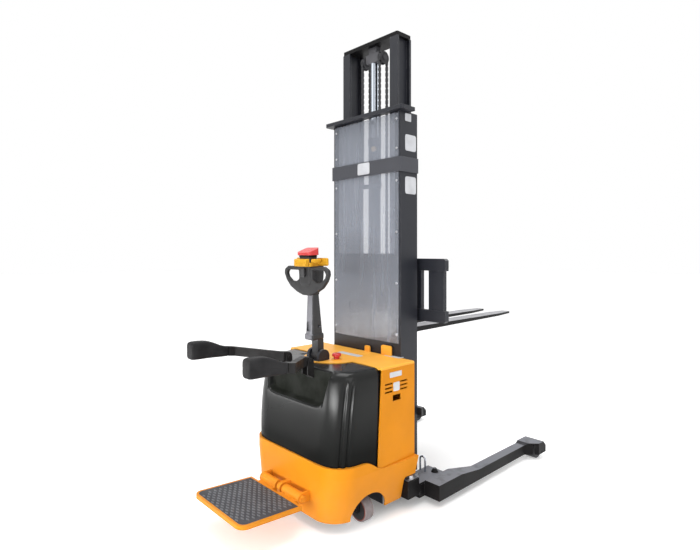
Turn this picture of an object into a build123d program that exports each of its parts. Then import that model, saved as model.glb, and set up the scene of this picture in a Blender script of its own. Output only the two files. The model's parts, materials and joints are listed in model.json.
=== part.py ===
from build123d import *
import os
from math import cos, radians, sin, sqrt

# Electric straddle stacker in millimetres, +Z up, forks towards +Y, operator at -Y with +X on the right hand.
# All places are measured from the floor, the centre plane and the rear face of the straddle legs.
# The finished nodes are moved so that the origin is at the bottom centre of the whole machine.

# Overall
FORK_TIP_Y = 1300.0
PAD_END_Y = -1000.0
MIDDLE_Y = (FORK_TIP_Y + PAD_END_Y) / 2

# Running clearances
SHAFT_GAP = 0.05
SLIDE_GAP = 0.3
SEAM = 1.0

# Outer mast: two channels that open inwards
MAST_HALF = 269.0
MAST_REAR_Y = -57.0
MAST_DEPTH = 136.0
OUTER_WEB = 10.0
OUTER_FLANGE = 14.0
OUTER_FLANGE_LENGTH = 43.0
OUTER_TOP_Z = 2065.0
TOP_FRAME_THICK = 20.0
TOP_FRAME_HALF = MAST_HALF + 40
TOP_FRAME_REAR_Y = -97.0
TOP_FRAME_FRONT_Y = 12.0
BAND_Z = (OUTER_TOP_Z - 325, OUTER_TOP_Z - 245)
BAND_THICK = 8.0
BACK_PLATE_THICK = 8.0
BACK_PLATE_Z = (640.0, 1300.0)
SWITCH_X = (MAST_HALF - 17, MAST_HALF + 31)
SWITCH_Z = (412.0, 452.0)
SWITCH_DEPTH = 14.0

# Inner mast: two I sections, shown raised by LIFT_REST
INNER_HALF = MAST_HALF - 51
INNER_REAR_Y = -28.0
INNER_DEPTH = 116.0
INNER_FLANGE = 14.0
INNER_FLANGE_WIDTH = 56.0
INNER_WEB = 12.0
INNER_BOTTOM_Z = 520.0
INNER_TOP_Z = 2516.0
TOP_PLATE_THICK = 22.0
TIE_HEIGHT = 60.0
TIE_THICK = 8.0
ROLLER_WIDTH = 19.0

# Lift cylinder and chains
CYLINDER_Y = 20.0
BARREL_R = 35.0
BARREL_BORE_R = 28.0
BARREL_TOP_Z = OUTER_TOP_Z - 140
GLAND_R = 38.0
GLAND_TOP_Z = OUTER_TOP_Z - 100
ROD_R = 22.5
ROD_BOTTOM_Z = 600.0
PISTON_HEIGHT = 30.0
CROSSHEAD_HALF = 52.0
CROSSHEAD_NECK_HALF = 30.0
CROSSHEAD_DEPTH = 44.0
CROSSHEAD_Z = (INNER_TOP_Z - 114, INNER_TOP_Z - 59)
PULLEY_Z = INNER_TOP_Z - 97
PULLEY_R = 36.0
PULLEY_WIDTH = 24.0
PULLEY_PIN_R = 10.0
CHAIN_WIDTH = 16.0
CHAIN_THICK = 8.0
CHAIN_PITCH_R = 30.0
CHAIN_ANCHOR_Z = OUTER_TOP_Z - 365
CHAIN_LUG_HEIGHT = 24.0

# Guard sheet behind the mast
GUARD_HALF = MAST_HALF - 14
GUARD_THICK = 4.0
GUARD_Z = (818.0, OUTER_TOP_Z - 7)
GUARD_SCREW_X = MAST_HALF - 26
GUARD_SCREW_R = 6.5
GUARD_SCREW_HEAD = 4.0
GUARD_SCREW_EDGE = 47.0
GUARD_SCREW_ROWS = 4

# Carriage and forks
BAR_HALF = MAST_HALF + 165
BAR_REAR_Y = 112.0
BAR_THICK = 30.0
LOWER_BAR_Z = (927.0, 991.0)
UPPER_BAR_Z = (1206.0, 1272.0)
END_POST_X = (MAST_HALF + 51, MAST_HALF + 153)
INNER_POST_X = (MAST_HALF - 49, MAST_HALF + 1)
POST_INSET = 3.0
ROLLER_PLATE_X = (INNER_HALF - 78, INNER_HALF - 60)
ROLLER_PLATE_REAR_Y = -5.0
ROLLER_PLATE_Z = (955.0, 1240.0)
CARRIAGE_ROLLER_Z = (985.0, 1200.0)
FORK_X = (58.0, 158.0)
FORK_TOP_Z = 872.0
FORK_ROOT_THICK = 30.0
FORK_TIP_THICK = 14.0
FORK_SHANK = 35.0
FORK_HOOK = 22.0
FORK_LIP = 15.0
FORK_LIP_REACH = 20.0
FORK_TAPER = 180.0
FORK_TIP_WIDTH = 60.0

# Base: sleeve across the machine, sliding straddle legs, load wheels
SLEEVE_HALF = MAST_HALF + 116
SLEEVE_Y = (-43.0, 57.0)
SLEEVE_Z = (33.0, 110.0)
SLEEVE_WALL = 10.0
LEG_TUBE_INNER_X = 70.0
LEG_INNER_X = SLEEVE_HALF + SLIDE_GAP
LEG_OUTER_X = SLEEVE_HALF + 94
LEG_HIGH_Z = 114.0
LEG_LOW_Z = 91.0
LEG_LOW_INNER_X = SLEEVE_HALF + 36
LEG_SHOULDER_Y = 200.0
LEG_LOW_Y = 370.0
WHEEL_BOX_Y = (876.0, 1030.0)
WHEEL_BOX_OUTER_X = SLEEVE_HALF + 160
WHEEL_BOX_FLARE = 64.0
WHEEL_BOX_Z = 104.0
WHEEL_BOX_WALL = 12.0
LOAD_WHEEL_R = 46.0
LOAD_WHEEL_WIDTH = 76.0
LOAD_WHEEL_Y = 968.0
LOAD_AXLE_R = 10.0
FOOT_PLATE_X = (MAST_HALF + 8, SLEEVE_HALF - 2)
FOOT_PLATE_FRONT_Y = 165.0
FOOT_PLATE_THICK = 12.0
BUFFER_HEIGHT = 20.7
BUFFER_R = (20.0, 9.0)
BUFFER_AT = (SLEEVE_HALF - 33, 127.0)
EYE_AT = (MAST_HALF + 31, 88.0)
EYE_BAR_R = 5.0
EYE_HALF = 17.0
EYE_HEIGHT = 84.0
STEP_X = (MAST_HALF + 21, SLEEVE_HALF - 2)
STEP_REAR_Y = -132.0
STEP_Z = (52.0, 142.0)
BOLT_R = 17.0
BOLT_HEAD = 14.0
WASHER_R = 20.0
WASHER_THICK = 4.0
BOLT_AT = ((MAST_HALF + 49, 0.0, SLEEVE_Z[1]), (SLEEVE_HALF - 26, -88.0, STEP_Z[1]))

# Chassis skirt and deck
SKIRT_Z = 50.0
SKIRT_WALL = 8.0
SKIRT_REAR_Y = -592.0
SKIRT_FRONT_Y = -57.0
SKIRT_CORNER = 130.0
SKIRT_BOTTOM_HALF = (328.0, 340.0)
SKIRT_TOP_HALF = (356.0, 391.0)
LEDGE_REAR_Z = 312.0
LEDGE_SIDE_Z = 262.0
LEDGE_BEND_Y = (-430.0, -290.0)
LEDGE_LIP = 48.0
LEDGE_THICK = 6.0
ARCH_Y = -368.0
ARCH_HALF = 114.0
ARCH_SHOULDER_Z = 74.0
ARCH_TOP_Z = 152.0
NOTCH_X = MAST_HALF + 11
NOTCH_REAR_Y = -138.0
NOTCH_TOP_Z = 162.0
DECK_THICK = 8.0

# Upper body
BODY_HALF = 370.0
BODY_WALL = 6.0
BODY_TOP_Z = 746.0
BODY_TOP_THICK = 12.0
BODY_FRONT_Y = -66.0
SEAM_SIDE_Y = (-338.0, -310.0)
ISLAND_Y = -300.0
ISLAND_R = 160.0
TURRET_R = 46.0
TOP_EDGE_R = 10.0
LOUVRE = (56.0, 8.0)
LOUVRE_PITCH = (111.0, 19.5)
LOUVRE_AT = (-205.0, 640.0)
RECESS = (60.0, 30.0)
RECESS_AT = (-203.0, 585.0)
UPSTANDS = ((11.0, 51.0, 34.0), (140.0, 214.0, 54.0))
UPSTAND_THICK = 8.0
HOOD_WALL = 6.0
HOOD_TOP_Z = BODY_TOP_Z - 4
HOOD_FRONT_Y = SEAM_SIDE_Y[1] + 60
HOOD_BOTTOM_HALF = (333.0, 369.0)
HOOD_TOP_HALF = (322.0, 365.0)
HOOD_BOTTOM_REAR_Y = -580.0
HOOD_TOP_REAR_Y = -540.0
HOOD_CORNER = 90.0
HOOD_EDGE_R = 30.0
HOOD_RECESS_Z = 560.0
HOOD_RECESS_HALF = (165.0, 253.0)
HOOD_RECESS_Y = -526.0
HOOD_RECESS_CORNER = 26.0
FLUTE_R = 8.0
FLUTE_ANGLES = ((44.0, 58.0), (70.0, 82.0))

# Inside the body: plain forms of parts that are out of sight
BATTERY_X = (8.0, 312.0)
BATTERY_Y = (-288.0, -110.0)
BATTERY_HEIGHT = 215.0
BATTERY_LID = (4.0, 20.0)
BATTERY_POST = (9.0, 17.0)
BATTERY_POST_X = (60.0, 262.0)
BATTERY_POST_Y = -150.0
TANK_X = (-288.0, -140.0)
TANK_Y = (-505.0, -370.0)
TANK_HEIGHT = 170.0
PUMP_AT = (-212.0, -436.0)
PUMP_R = (56.0, 46.0)
PUMP_HEIGHT = (30.0, 160.0)
CONTROLLER_X = (150.0, 288.0)
CONTROLLER_Y = (-490.0, -360.0)
CONTROLLER_HEIGHT = 60.0
FIN_PITCH = 20.0
FIN_THICK = 6.0
FIN_HEIGHT = 24.0

# Drive and steering
STEER_Y = -406.0
DRIVE_WHEEL_R = 105.0
DRIVE_WHEEL_WIDTH = 70.0
DRIVE_SHAFT_R = 18.0
GEARBOX_X = (40.0, 92.0)
GEARBOX_R = 50.0
FLANGE_R = 104.0
NECK_R = 75.0
RING_R = 110.0
RING_HEIGHT = 16.0
MOTOR_R = 85.0
MOTOR_HEIGHT = 208.0
BRAKE_R = 62.0
BRAKE_HEIGHT = 42.0
POST_R = 28.0

# Tiller, built upright about its pivot and then leaned back
TILLER_PIVOT_Z = 768.0
TILLER_LEAN = 2.0
TILLER_BASE_HALF = (50.0, 36.0)
TILLER_CHEEK = 16.0
TILLER_HUB_R = TURRET_R - 2
TILLER_HUB_Z = 720.0
TILLER_BASE_Z = BODY_TOP_Z + 2
TILLER_PIN_R = 10.0
ARM_HUB_R = 20.0
ARM_POST = (48.0, 40.0)
ARM_OFFSET_Y = -22.0
ARM_COLLAR_Z = (88.0, 120.0)
ARM_COLLAR = (70.0, 80.0)
ARM_BOTTOM = (60.0, 72.0)
ARM_TOP = (46.0, 46.0)
ARM_CLIP = (30.0, 48.0, 10.0)
ARM_HOLE_R = 7.0
HEAD_Z = 322.0
HEAD_OFFSET_Y = -48.0
HEAD_BODY = (88.0, 58.0)
HEAD_TOP_Z = HEAD_Z + 197
GRIP_THICK = 22.0
GRIP_EDGE = 8.0
GRIP_OFFSET_Y = -12.0
GRIP_OUTLINE = ((30, -2), (82, 14), (132, 40), (166, 74), (183, 108), (179, 132), (150, 148))
GRIP_HOLE = ((56, 128), (146, 128), (160, 110), (152, 92), (120, 70), (84, 68), (56, 82))
COVER_Z = (HEAD_Z + 148, HEAD_Z + 168)
COVER_SIZE = (106.0, 74.0)
WING_X = 126.0
WING_Y = (20.0, 30.0)
WING_TOP_Z = HEAD_Z + 190
BELLY_TRAVEL = 8.0
BELLY_SIZE = (108.0, 70.0)
BELLY_HEIGHT = (14.0, 38.0)
BELLY_STEM_R = 12.0
THROTTLE_Z = HEAD_Z + 176
THROTTLE_Y = -6.0
THROTTLE_SHAFT_R = 6.0
THROTTLE_X = (58.0, 112.0)
PADDLE = (44.0, 18.0)
ROCKER_Z = HEAD_Z + 116
ROCKER_SIZE = (26.0, 44.0, 12.0)

# Foldable side arms
ARM_X = 255.0
ARM_ROOT_X = 88.0
ARM_PIVOT = (HOOD_RECESS_Y - 19, HOOD_TOP_Z + 28)
ARM_PIN_R = 8.0
ARM_BAR = (36.0, 46.0)
ARM_EYE = 30.0
ARM_NECK = (-795.0, 806.0)
PAD_WIDTH = (44.0, 64.0)
PAD_HEIGHT = (50.0, 88.0)
PAD_CENTRE_Z = 832.0
BRACKET_CHEEK = 7.0
BRACKET_BASE = 6.0
BRACKET_EYE_R = 18.0
BRACKET_Z = (HOOD_TOP_Z - 52, HOOD_TOP_Z + 3)

# Fold-up pedal
PEDAL_INCLINE = 4.0
PEDAL_HALF = 214.0
PEDAL_Y = (-998.0, -676.0)
PEDAL_Z = (124.0, 142.0)
PEDAL_RIM = 12.0
PEDAL_FLOOR = 8.0
PEDAL_CORNER = 42.0
MAT_PROUD = 2.0
HINGE_AT = (-636.0, 150.0)
HINGE_BARREL_R = 24.0
HINGE_PIN_R = 10.0
HINGE_HALF = 163.0
HINGE_MIDDLE = 28.0
LUG_THICK = 12.0

# Casters
CASTER_AT = (255.0, -365.0)
CASTER_TRAIL = 30.0
CASTER_R = 60.0
CASTER_WIDTH = 56.0
CASTER_AXLE_R = 8.0
CASTER_CHEEK = 8.0
CASTER_CROWN_Z = (136.0, 146.0)
CASTER_CROWN_R = 46.0
CASTER_STEM_R = 20.0
CASTER_MOUNT_Z = 168.0
CASTER_MOUNT_HALF = 45.0

# Emergency stop
ESTOP_AT = (70.0, -338.0)
ESTOP_STEM_R = 14.0
ESTOP_HEAD_R = 24.0
ESTOP_COLLAR = 4.0
ESTOP_LIFT = 14.0
ESTOP_HEIGHT = 20.0

# Derived places
MAST_FRONT_Y = MAST_REAR_Y + MAST_DEPTH
INNER_FRONT_Y = INNER_REAR_Y + INNER_DEPTH
INNER_MIDDLE_Y = (INNER_REAR_Y + INNER_FRONT_Y) / 2
OUTER_MIDDLE_Y = (MAST_REAR_Y + MAST_FRONT_Y) / 2
INNER_WEB_MIDDLE = INNER_HALF - INNER_FLANGE_WIDTH / 2
INNER_WEB_X = (INNER_WEB_MIDDLE - INNER_WEB / 2, INNER_WEB_MIDDLE + INNER_WEB / 2)
INNER_GAP = INNER_DEPTH - 2 * INNER_FLANGE
OUTER_GAP = MAST_DEPTH - 2 * OUTER_FLANGE
OUTER_WEB_X = MAST_HALF - OUTER_WEB
GUARD_REAR_Y = MAST_REAR_Y - GUARD_THICK
BAR_FRONT_Y = BAR_REAR_Y + BAR_THICK
DECK_TOP_Z = LEDGE_SIDE_Z - LEDGE_THICK
DECK_Z = DECK_TOP_Z - DECK_THICK
MOTOR_Z = DECK_TOP_Z + RING_HEIGHT + 12
PULLEY_X = CROSSHEAD_HALF + 4.0 + PULLEY_WIDTH / 2
CHAIN_GROOVE_R = CHAIN_PITCH_R - CHAIN_THICK / 2 - SLIDE_GAP

NODES = {}


def node(name, *solids):
    """Keeps one named piece, or a group of like pieces, for export."""
    NODES[name] = list(solids)


def block(x0, x1, y0, y1, z0, z1):
    """Rectangular block between two corners."""
    return Pos((x0 + x1) / 2, (y0 + y1) / 2, (z0 + z1) / 2) * Box(x1 - x0, y1 - y0, z1 - z0)


def bar_x(radius, x0, x1, y, z):
    """Round bar along X."""
    return Pos((x0 + x1) / 2, y, z) * Rot(0, 90, 0) * Cylinder(radius, x1 - x0)


def bar_y(radius, y0, y1, x, z):
    """Round bar along Y."""
    return Pos(x, (y0 + y1) / 2, z) * Rot(90, 0, 0) * Cylinder(radius, y1 - y0)


def bar_z(radius, z0, z1, x, y):
    """Round bar along Z."""
    return Pos(x, y, (z0 + z1) / 2) * Cylinder(radius, z1 - z0)


def mirrored(shape):
    """The same piece on the other side of the machine."""
    return mirror(shape, about=Plane.YZ)


def side_profile(points, x0, x1):
    """Closed outline of (y, z) points, carried across from x0 to x1."""
    face = Plane.YZ * make_face(Polyline(*points, close=True))
    return Pos(x0, 0, 0) * extrude(face, x1 - x0)


def plan_profile(points, z0, z1):
    """Closed outline of (x, y) points, carried up from z0 to z1."""
    return Pos(0, 0, z0) * extrude(make_face(Polyline(*points, close=True)), z1 - z0)


def stub_roller(radius, x0, x1, axle_to_x, y, z):
    """Mast roller with its stub axle, both along X."""
    wheel = chamfer(bar_x(radius, x0, x1, y, z).edges().filter_by(GeomType.CIRCLE), 2)
    return wheel + bar_x(radius * 0.4, min(x0, axle_to_x), max(x1, axle_to_x), y, z)


def outer_mast():
    """Two inward channels joined by a back plate, with the inner mast's guide rollers near their top ends."""
    tip = MAST_HALF - OUTER_FLANGE_LENGTH
    channel = block(tip, MAST_HALF, MAST_REAR_Y, MAST_FRONT_Y, SLEEVE_Z[1], OUTER_TOP_Z)
    channel -= block(tip, OUTER_WEB_X, MAST_REAR_Y + OUTER_FLANGE, MAST_FRONT_Y - OUTER_FLANGE,
                     SLEEVE_Z[1], OUTER_TOP_Z)
    radius = INNER_GAP / 2 - SLIDE_GAP
    face_x = INNER_WEB_X[1] + SEAM
    roller = stub_roller(radius, face_x, face_x + ROLLER_WIDTH, OUTER_WEB_X, INNER_MIDDLE_Y, OUTER_TOP_Z - 45)
    back = block(-tip, tip, MAST_REAR_Y, MAST_REAR_Y + BACK_PLATE_THICK, *BACK_PLATE_Z)
    return [channel, mirrored(channel), roller, mirrored(roller), back]


def mast_top_frame():
    """Flat plate round the back of the mast top, open towards the forks."""
    frame = block(-TOP_FRAME_HALF, TOP_FRAME_HALF, TOP_FRAME_REAR_Y, TOP_FRAME_FRONT_Y,
                  OUTER_TOP_Z, OUTER_TOP_Z + TOP_FRAME_THICK)
    opening = INNER_HALF + 6
    frame -= block(-opening, opening, MAST_REAR_Y + 7, TOP_FRAME_FRONT_Y,
                   OUTER_TOP_Z, OUTER_TOP_Z + TOP_FRAME_THICK)
    return fillet(frame.edges().filter_by(Axis.Z).group_by(Axis.Y)[0], 18)


def mast_band():
    """Stiffening band across the back of the mast and along both sides."""
    outer = MAST_HALF + BAND_THICK
    band = block(-outer, outer, GUARD_REAR_Y - BAND_THICK, MAST_FRONT_Y, *BAND_Z)
    band -= block(-MAST_HALF, MAST_HALF, GUARD_REAR_Y, MAST_FRONT_Y, *BAND_Z)
    return fillet(band.edges().filter_by(Axis.Z).group_by(Axis.Y)[0], 7)


def guard_screws():
    """Button heads down both edges of the guard sheet."""
    first, last = GUARD_Z[0] + GUARD_SCREW_EDGE, BAND_Z[0] - GUARD_SCREW_EDGE
    step = (last - first) / (GUARD_SCREW_ROWS - 1)
    rows = [first + step * row for row in range(GUARD_SCREW_ROWS)]
    rows += [BAND_Z[1] + GUARD_SCREW_EDGE, GUARD_Z[1] - GUARD_SCREW_EDGE * 0.7]
    screws = []
    for z in rows:
        head = bar_y(GUARD_SCREW_R, GUARD_REAR_Y - GUARD_SCREW_HEAD, GUARD_REAR_Y, GUARD_SCREW_X, z)
        head = fillet(head.edges().group_by(Axis.Y)[0], GUARD_SCREW_HEAD * 0.6)
        screws += [head, mirrored(head)]
    return screws


def inner_mast():
    """Two I sections with the rollers that run in the outer channels."""
    x0 = INNER_HALF - INNER_FLANGE_WIDTH
    ends = (INNER_BOTTOM_Z, INNER_TOP_Z - TOP_PLATE_THICK)
    rail = block(x0, INNER_HALF, INNER_REAR_Y, INNER_FRONT_Y, *ends)
    y0 = INNER_REAR_Y + INNER_FLANGE
    y1 = INNER_FRONT_Y - INNER_FLANGE
    rail -= block(x0, INNER_WEB_X[0], y0, y1, *ends)
    rail -= block(INNER_WEB_X[1], INNER_HALF, y0, y1, *ends)
    radius = OUTER_GAP / 2 - SLIDE_GAP
    roller_x = OUTER_WEB_X - 2 - 29
    roller = stub_roller(radius, roller_x, roller_x + 29, INNER_WEB_X[1], OUTER_MIDDLE_Y, INNER_BOTTOM_Z + 60)
    return [rail, mirrored(rail), roller, mirrored(roller)]


def inner_mast_beams():
    """Flat plate across the top of the inner mast and a tie plate across its foot."""
    plate = block(-INNER_HALF, INNER_HALF, INNER_REAR_Y, INNER_FRONT_Y,
                  INNER_TOP_Z - TOP_PLATE_THICK, INNER_TOP_Z)
    plate = chamfer(plate.edges().filter_by(Axis.Z), 6)
    tie_half = INNER_HALF - INNER_FLANGE_WIDTH
    tie = block(-tie_half, tie_half, INNER_REAR_Y, INNER_REAR_Y + TIE_THICK,
                INNER_BOTTOM_Z + 5, INNER_BOTTOM_Z + 5 + TIE_HEIGHT)
    return [plate, tie]


def lift_cylinder():
    """Barrel with gland and a clamp that anchors the rear chain ends."""
    barrel = bar_z(BARREL_R, SLEEVE_Z[1], BARREL_TOP_Z, 0, CYLINDER_Y)
    barrel += bar_z(GLAND_R, BARREL_TOP_Z, GLAND_TOP_Z, 0, CYLINDER_Y)
    clamp_z = CHAIN_ANCHOR_Z - CHAIN_LUG_HEIGHT
    barrel += bar_z(GLAND_R, clamp_z, CHAIN_ANCHOR_Z, 0, CYLINDER_Y)
    reach = PULLEY_X + CHAIN_WIDTH / 2 + 2
    chain_y = CYLINDER_Y - CHAIN_PITCH_R
    barrel += block(-reach, reach, chain_y - 6, chain_y + 6, clamp_z, CHAIN_ANCHOR_Z)
    barrel -= bar_z(BARREL_BORE_R, SLEEVE_Z[1] + 15, BARREL_TOP_Z, 0, CYLINDER_Y)
    return barrel - bar_z(ROD_R + SHAFT_GAP, BARREL_TOP_Z, GLAND_TOP_Z, 0, CYLINDER_Y)


def lift_rod():
    """Plated rod with its piston."""
    rod = bar_z(ROD_R, ROD_BOTTOM_Z, CROSSHEAD_Z[0], 0, CYLINDER_Y)
    return rod + bar_z(BARREL_BORE_R - SHAFT_GAP, ROD_BOTTOM_Z, ROD_BOTTOM_Z + PISTON_HEIGHT, 0, CYLINDER_Y)


def lift_crosshead():
    """Yoke between rod and top plate with a pin on either side for the chain pulleys."""
    half = CROSSHEAD_DEPTH / 2
    yoke = block(-CROSSHEAD_HALF, CROSSHEAD_HALF, CYLINDER_Y - half, CYLINDER_Y + half, *CROSSHEAD_Z)
    yoke = chamfer(yoke.edges().filter_by(Axis.Y).group_by(Axis.Z)[0], 12)
    yoke += block(-CROSSHEAD_NECK_HALF, CROSSHEAD_NECK_HALF, CYLINDER_Y - half + 4, CYLINDER_Y + half - 4,
                  CROSSHEAD_Z[1], INNER_TOP_Z - TOP_PLATE_THICK)
    end = PULLEY_X + PULLEY_WIDTH / 2 + 6
    yoke += bar_x(PULLEY_PIN_R, -end, end, CYLINDER_Y, PULLEY_Z)
    for side in (-1, 1):
        cap = end - 4
        yoke += bar_x(PULLEY_PIN_R + 4, min(side * cap, side * end), max(side * cap, side * end),
                      CYLINDER_Y, PULLEY_Z)
    return yoke


def chain_pulley():
    """Flanged pulley for the right-hand chain."""
    half = PULLEY_WIDTH / 2
    inner = CHAIN_WIDTH / 2 + 2
    bore = PULLEY_PIN_R + SHAFT_GAP
    outline = [(bore, -half), (PULLEY_R, -half), (PULLEY_R, -inner), (CHAIN_GROOVE_R, -inner),
               (CHAIN_GROOVE_R, inner), (PULLEY_R, inner), (PULLEY_R, half), (bore, half)]
    wheel = revolve(Plane.XZ * make_face(Polyline(*outline, close=True)), Axis.Z)
    return Pos(PULLEY_X, CYLINDER_Y, PULLEY_Z) * Rot(0, 90, 0) * wheel


def chain_runs(y, z0):
    """Straight chain runs on both sides, from an anchor up to the pulley centres."""
    run = block(PULLEY_X - CHAIN_WIDTH / 2, PULLEY_X + CHAIN_WIDTH / 2,
                y - CHAIN_THICK / 2, y + CHAIN_THICK / 2, z0, PULLEY_Z)
    return [run, mirrored(run)]


def carriage_bars():
    """Upper and lower fork bars, with the chain anchors that stand on the lower one."""
    upper = block(-BAR_HALF, BAR_HALF, BAR_REAR_Y, BAR_FRONT_Y, *UPPER_BAR_Z)
    upper = chamfer(upper.edges().filter_by(Axis.Y).group_by(Axis.Z)[-1], 10)
    lower = block(-BAR_HALF, BAR_HALF, BAR_REAR_Y, BAR_FRONT_Y, *LOWER_BAR_Z)
    lower = chamfer(lower.edges().filter_by(Axis.Y).group_by(Axis.Z)[0], 10)
    chain_y = CYLINDER_Y + CHAIN_PITCH_R
    lug = block(PULLEY_X - 10, PULLEY_X + 10, chain_y - 6, BAR_FRONT_Y,
                LOWER_BAR_Z[1], LOWER_BAR_Z[1] + CHAIN_LUG_HEIGHT)
    return [upper, lower, lug, mirrored(lug)]


def carriage_frame():
    """Posts between the bars, the roller plates and their rollers."""
    pieces = []
    for x0, x1 in (END_POST_X, INNER_POST_X):
        post = block(x0, x1, BAR_REAR_Y + POST_INSET, BAR_FRONT_Y - POST_INSET, LOWER_BAR_Z[1], UPPER_BAR_Z[0])
        pieces.append(post)
    plate = block(*ROLLER_PLATE_X, ROLLER_PLATE_REAR_Y, BAR_REAR_Y, *ROLLER_PLATE_Z)
    pieces.append(chamfer(plate.edges().filter_by(Axis.X).group_by(Axis.Y)[0], 25))
    face_x = INNER_WEB_X[0] - SEAM
    for z in CARRIAGE_ROLLER_Z:
        radius = INNER_GAP / 2 - SLIDE_GAP
        pieces.append(stub_roller(radius, face_x - ROLLER_WIDTH, face_x, ROLLER_PLATE_X[1], INNER_MIDDLE_Y, z))
    return pieces + [mirrored(piece) for piece in pieces]


def fork():
    """Right-hand fork hooked over both carriage bars, with a tapered blade."""
    back = BAR_FRONT_Y + SLIDE_GAP
    front = back + FORK_SHANK
    heel_z = FORK_TOP_Z - FORK_ROOT_THICK
    top_z = UPPER_BAR_Z[1] + SLIDE_GAP
    low_z = LOWER_BAR_Z[0] - SLIDE_GAP
    lip_front = BAR_REAR_Y - SLIDE_GAP
    lip_back = lip_front - FORK_LIP
    outline = [
        (back, heel_z + 30), (back + 30, heel_z), (FORK_TIP_Y, FORK_TOP_Z - FORK_TIP_THICK),
        (FORK_TIP_Y, FORK_TOP_Z), (front + 12, FORK_TOP_Z), (front, FORK_TOP_Z + 12),
        (front, top_z + FORK_HOOK - 10), (front - 10, top_z + FORK_HOOK), (lip_back, top_z + FORK_HOOK),
        (lip_back, top_z - FORK_LIP_REACH), (lip_front, top_z - FORK_LIP_REACH), (lip_front, top_z),
        (back, top_z), (back, low_z), (lip_front, low_z), (lip_front, low_z + FORK_LIP_REACH),
        (lip_back, low_z + FORK_LIP_REACH), (lip_back, low_z - FORK_HOOK), (back, low_z - FORK_HOOK),
    ]
    shape = side_profile(outline, *FORK_X)
    middle = (FORK_X[0] + FORK_X[1]) / 2
    taper_y = FORK_TIP_Y - FORK_TAPER
    half = FORK_TIP_WIDTH / 2
    plan = [(FORK_X[0], lip_back), (FORK_X[1], lip_back), (FORK_X[1], taper_y), (middle + half, FORK_TIP_Y),
            (middle - half, FORK_TIP_Y), (FORK_X[0], taper_y)]
    return shape & plan_profile(plan, heel_z - 10, top_z + FORK_HOOK + 10)


def sleeve():
    """Rectangular tube across the machine that takes both straddle legs."""
    tube = block(-SLEEVE_HALF, SLEEVE_HALF, *SLEEVE_Y, *SLEEVE_Z)
    return tube - block(-SLEEVE_HALF, SLEEVE_HALF, SLEEVE_Y[0] + SLEEVE_WALL, SLEEVE_Y[1] - SLEEVE_WALL,
                        SLEEVE_Z[0] + SLEEVE_WALL, SLEEVE_Z[1] - SLEEVE_WALL)


def straddle_leg():
    """Right-hand leg: sliding tube, tapering beam and wheel box, with the load wheel's axle."""
    inset = SLEEVE_WALL + SLIDE_GAP
    tube = block(LEG_TUBE_INNER_X, LEG_INNER_X + 20, SLEEVE_Y[0] + inset, SLEEVE_Y[1] - inset,
                 SLEEVE_Z[0] + inset, SLEEVE_Z[1] - inset)
    tube = tube & block(0, LEG_INNER_X, *SLEEVE_Y, *SLEEVE_Z) + block(
        LEG_INNER_X, LEG_INNER_X + 20, 0, SLEEVE_Y[1], *SLEEVE_Z)
    box_y0, box_y1 = WHEEL_BOX_Y
    flare_y = box_y0 + WHEEL_BOX_FLARE
    plan = [(LEG_INNER_X, 0), (LEG_OUTER_X, 0), (LEG_OUTER_X, box_y0), (WHEEL_BOX_OUTER_X, flare_y),
            (WHEEL_BOX_OUTER_X, box_y1), (LEG_LOW_INNER_X, box_y1), (LEG_LOW_INNER_X, LEG_LOW_Y),
            (LEG_INNER_X, LEG_SHOULDER_Y)]
    side = [(0, SLEEVE_Z[0]), (0, LEG_HIGH_Z), (LEG_SHOULDER_Y, LEG_HIGH_Z), (LEG_LOW_Y, LEG_LOW_Z),
            (box_y0, LEG_LOW_Z), (box_y0 + 20, WHEEL_BOX_Z), (box_y1 - 30, WHEEL_BOX_Z),
            (box_y1, WHEEL_BOX_Z - 30), (box_y1, SLEEVE_Z[0])]
    beam = plan_profile(plan, 0, LEG_HIGH_Z + 10) & side_profile(side, LEG_INNER_X, WHEEL_BOX_OUTER_X)
    middle = (LEG_LOW_INNER_X + WHEEL_BOX_OUTER_X) / 2
    half = LOAD_WHEEL_WIDTH / 2 + 4
    well = LOAD_WHEEL_R + 8
    beam -= block(middle - half, middle + half, LOAD_WHEEL_Y - well, LOAD_WHEEL_Y + well, 0, WHEEL_BOX_Z - 6)
    beam -= bar_x(LOAD_AXLE_R, LEG_LOW_INNER_X, WHEEL_BOX_OUTER_X, LOAD_WHEEL_Y, LOAD_WHEEL_R)
    axle = bar_x(LOAD_AXLE_R, LEG_LOW_INNER_X, WHEEL_BOX_OUTER_X - 2, LOAD_WHEEL_Y, LOAD_WHEEL_R)
    return [tube + beam, axle]


def load_wheel():
    """Right-hand load roller with rounded rims."""
    middle = (LEG_LOW_INNER_X + WHEEL_BOX_OUTER_X) / 2
    half = LOAD_WHEEL_WIDTH / 2
    wheel = bar_x(LOAD_WHEEL_R, middle - half, middle + half, LOAD_WHEEL_Y, LOAD_WHEEL_R)
    wheel = fillet(wheel.edges().filter_by(GeomType.CIRCLE), 6)
    return wheel - bar_x(LOAD_AXLE_R + SHAFT_GAP, middle - half, middle + half, LOAD_WHEEL_Y, LOAD_WHEEL_R)


def mast_feet():
    """Foot plates in front of the sleeve with the carriage's rubber stops, and the step blocks behind it."""
    plate = block(*FOOT_PLATE_X, SLEEVE_Y[1], FOOT_PLATE_FRONT_Y, SLEEVE_Z[1] - FOOT_PLATE_THICK, SLEEVE_Z[1])
    cone = Pos(*BUFFER_AT, SLEEVE_Z[1] + BUFFER_HEIGHT / 2) * Cone(*BUFFER_R, BUFFER_HEIGHT)
    step = block(*STEP_X, STEP_REAR_Y, SLEEVE_Y[0], *STEP_Z)
    step = chamfer(step.edges().group_by(Axis.Z)[-1], 4)
    pieces = [plate, cone, step]
    return pieces + [mirrored(piece) for piece in pieces]


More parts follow.
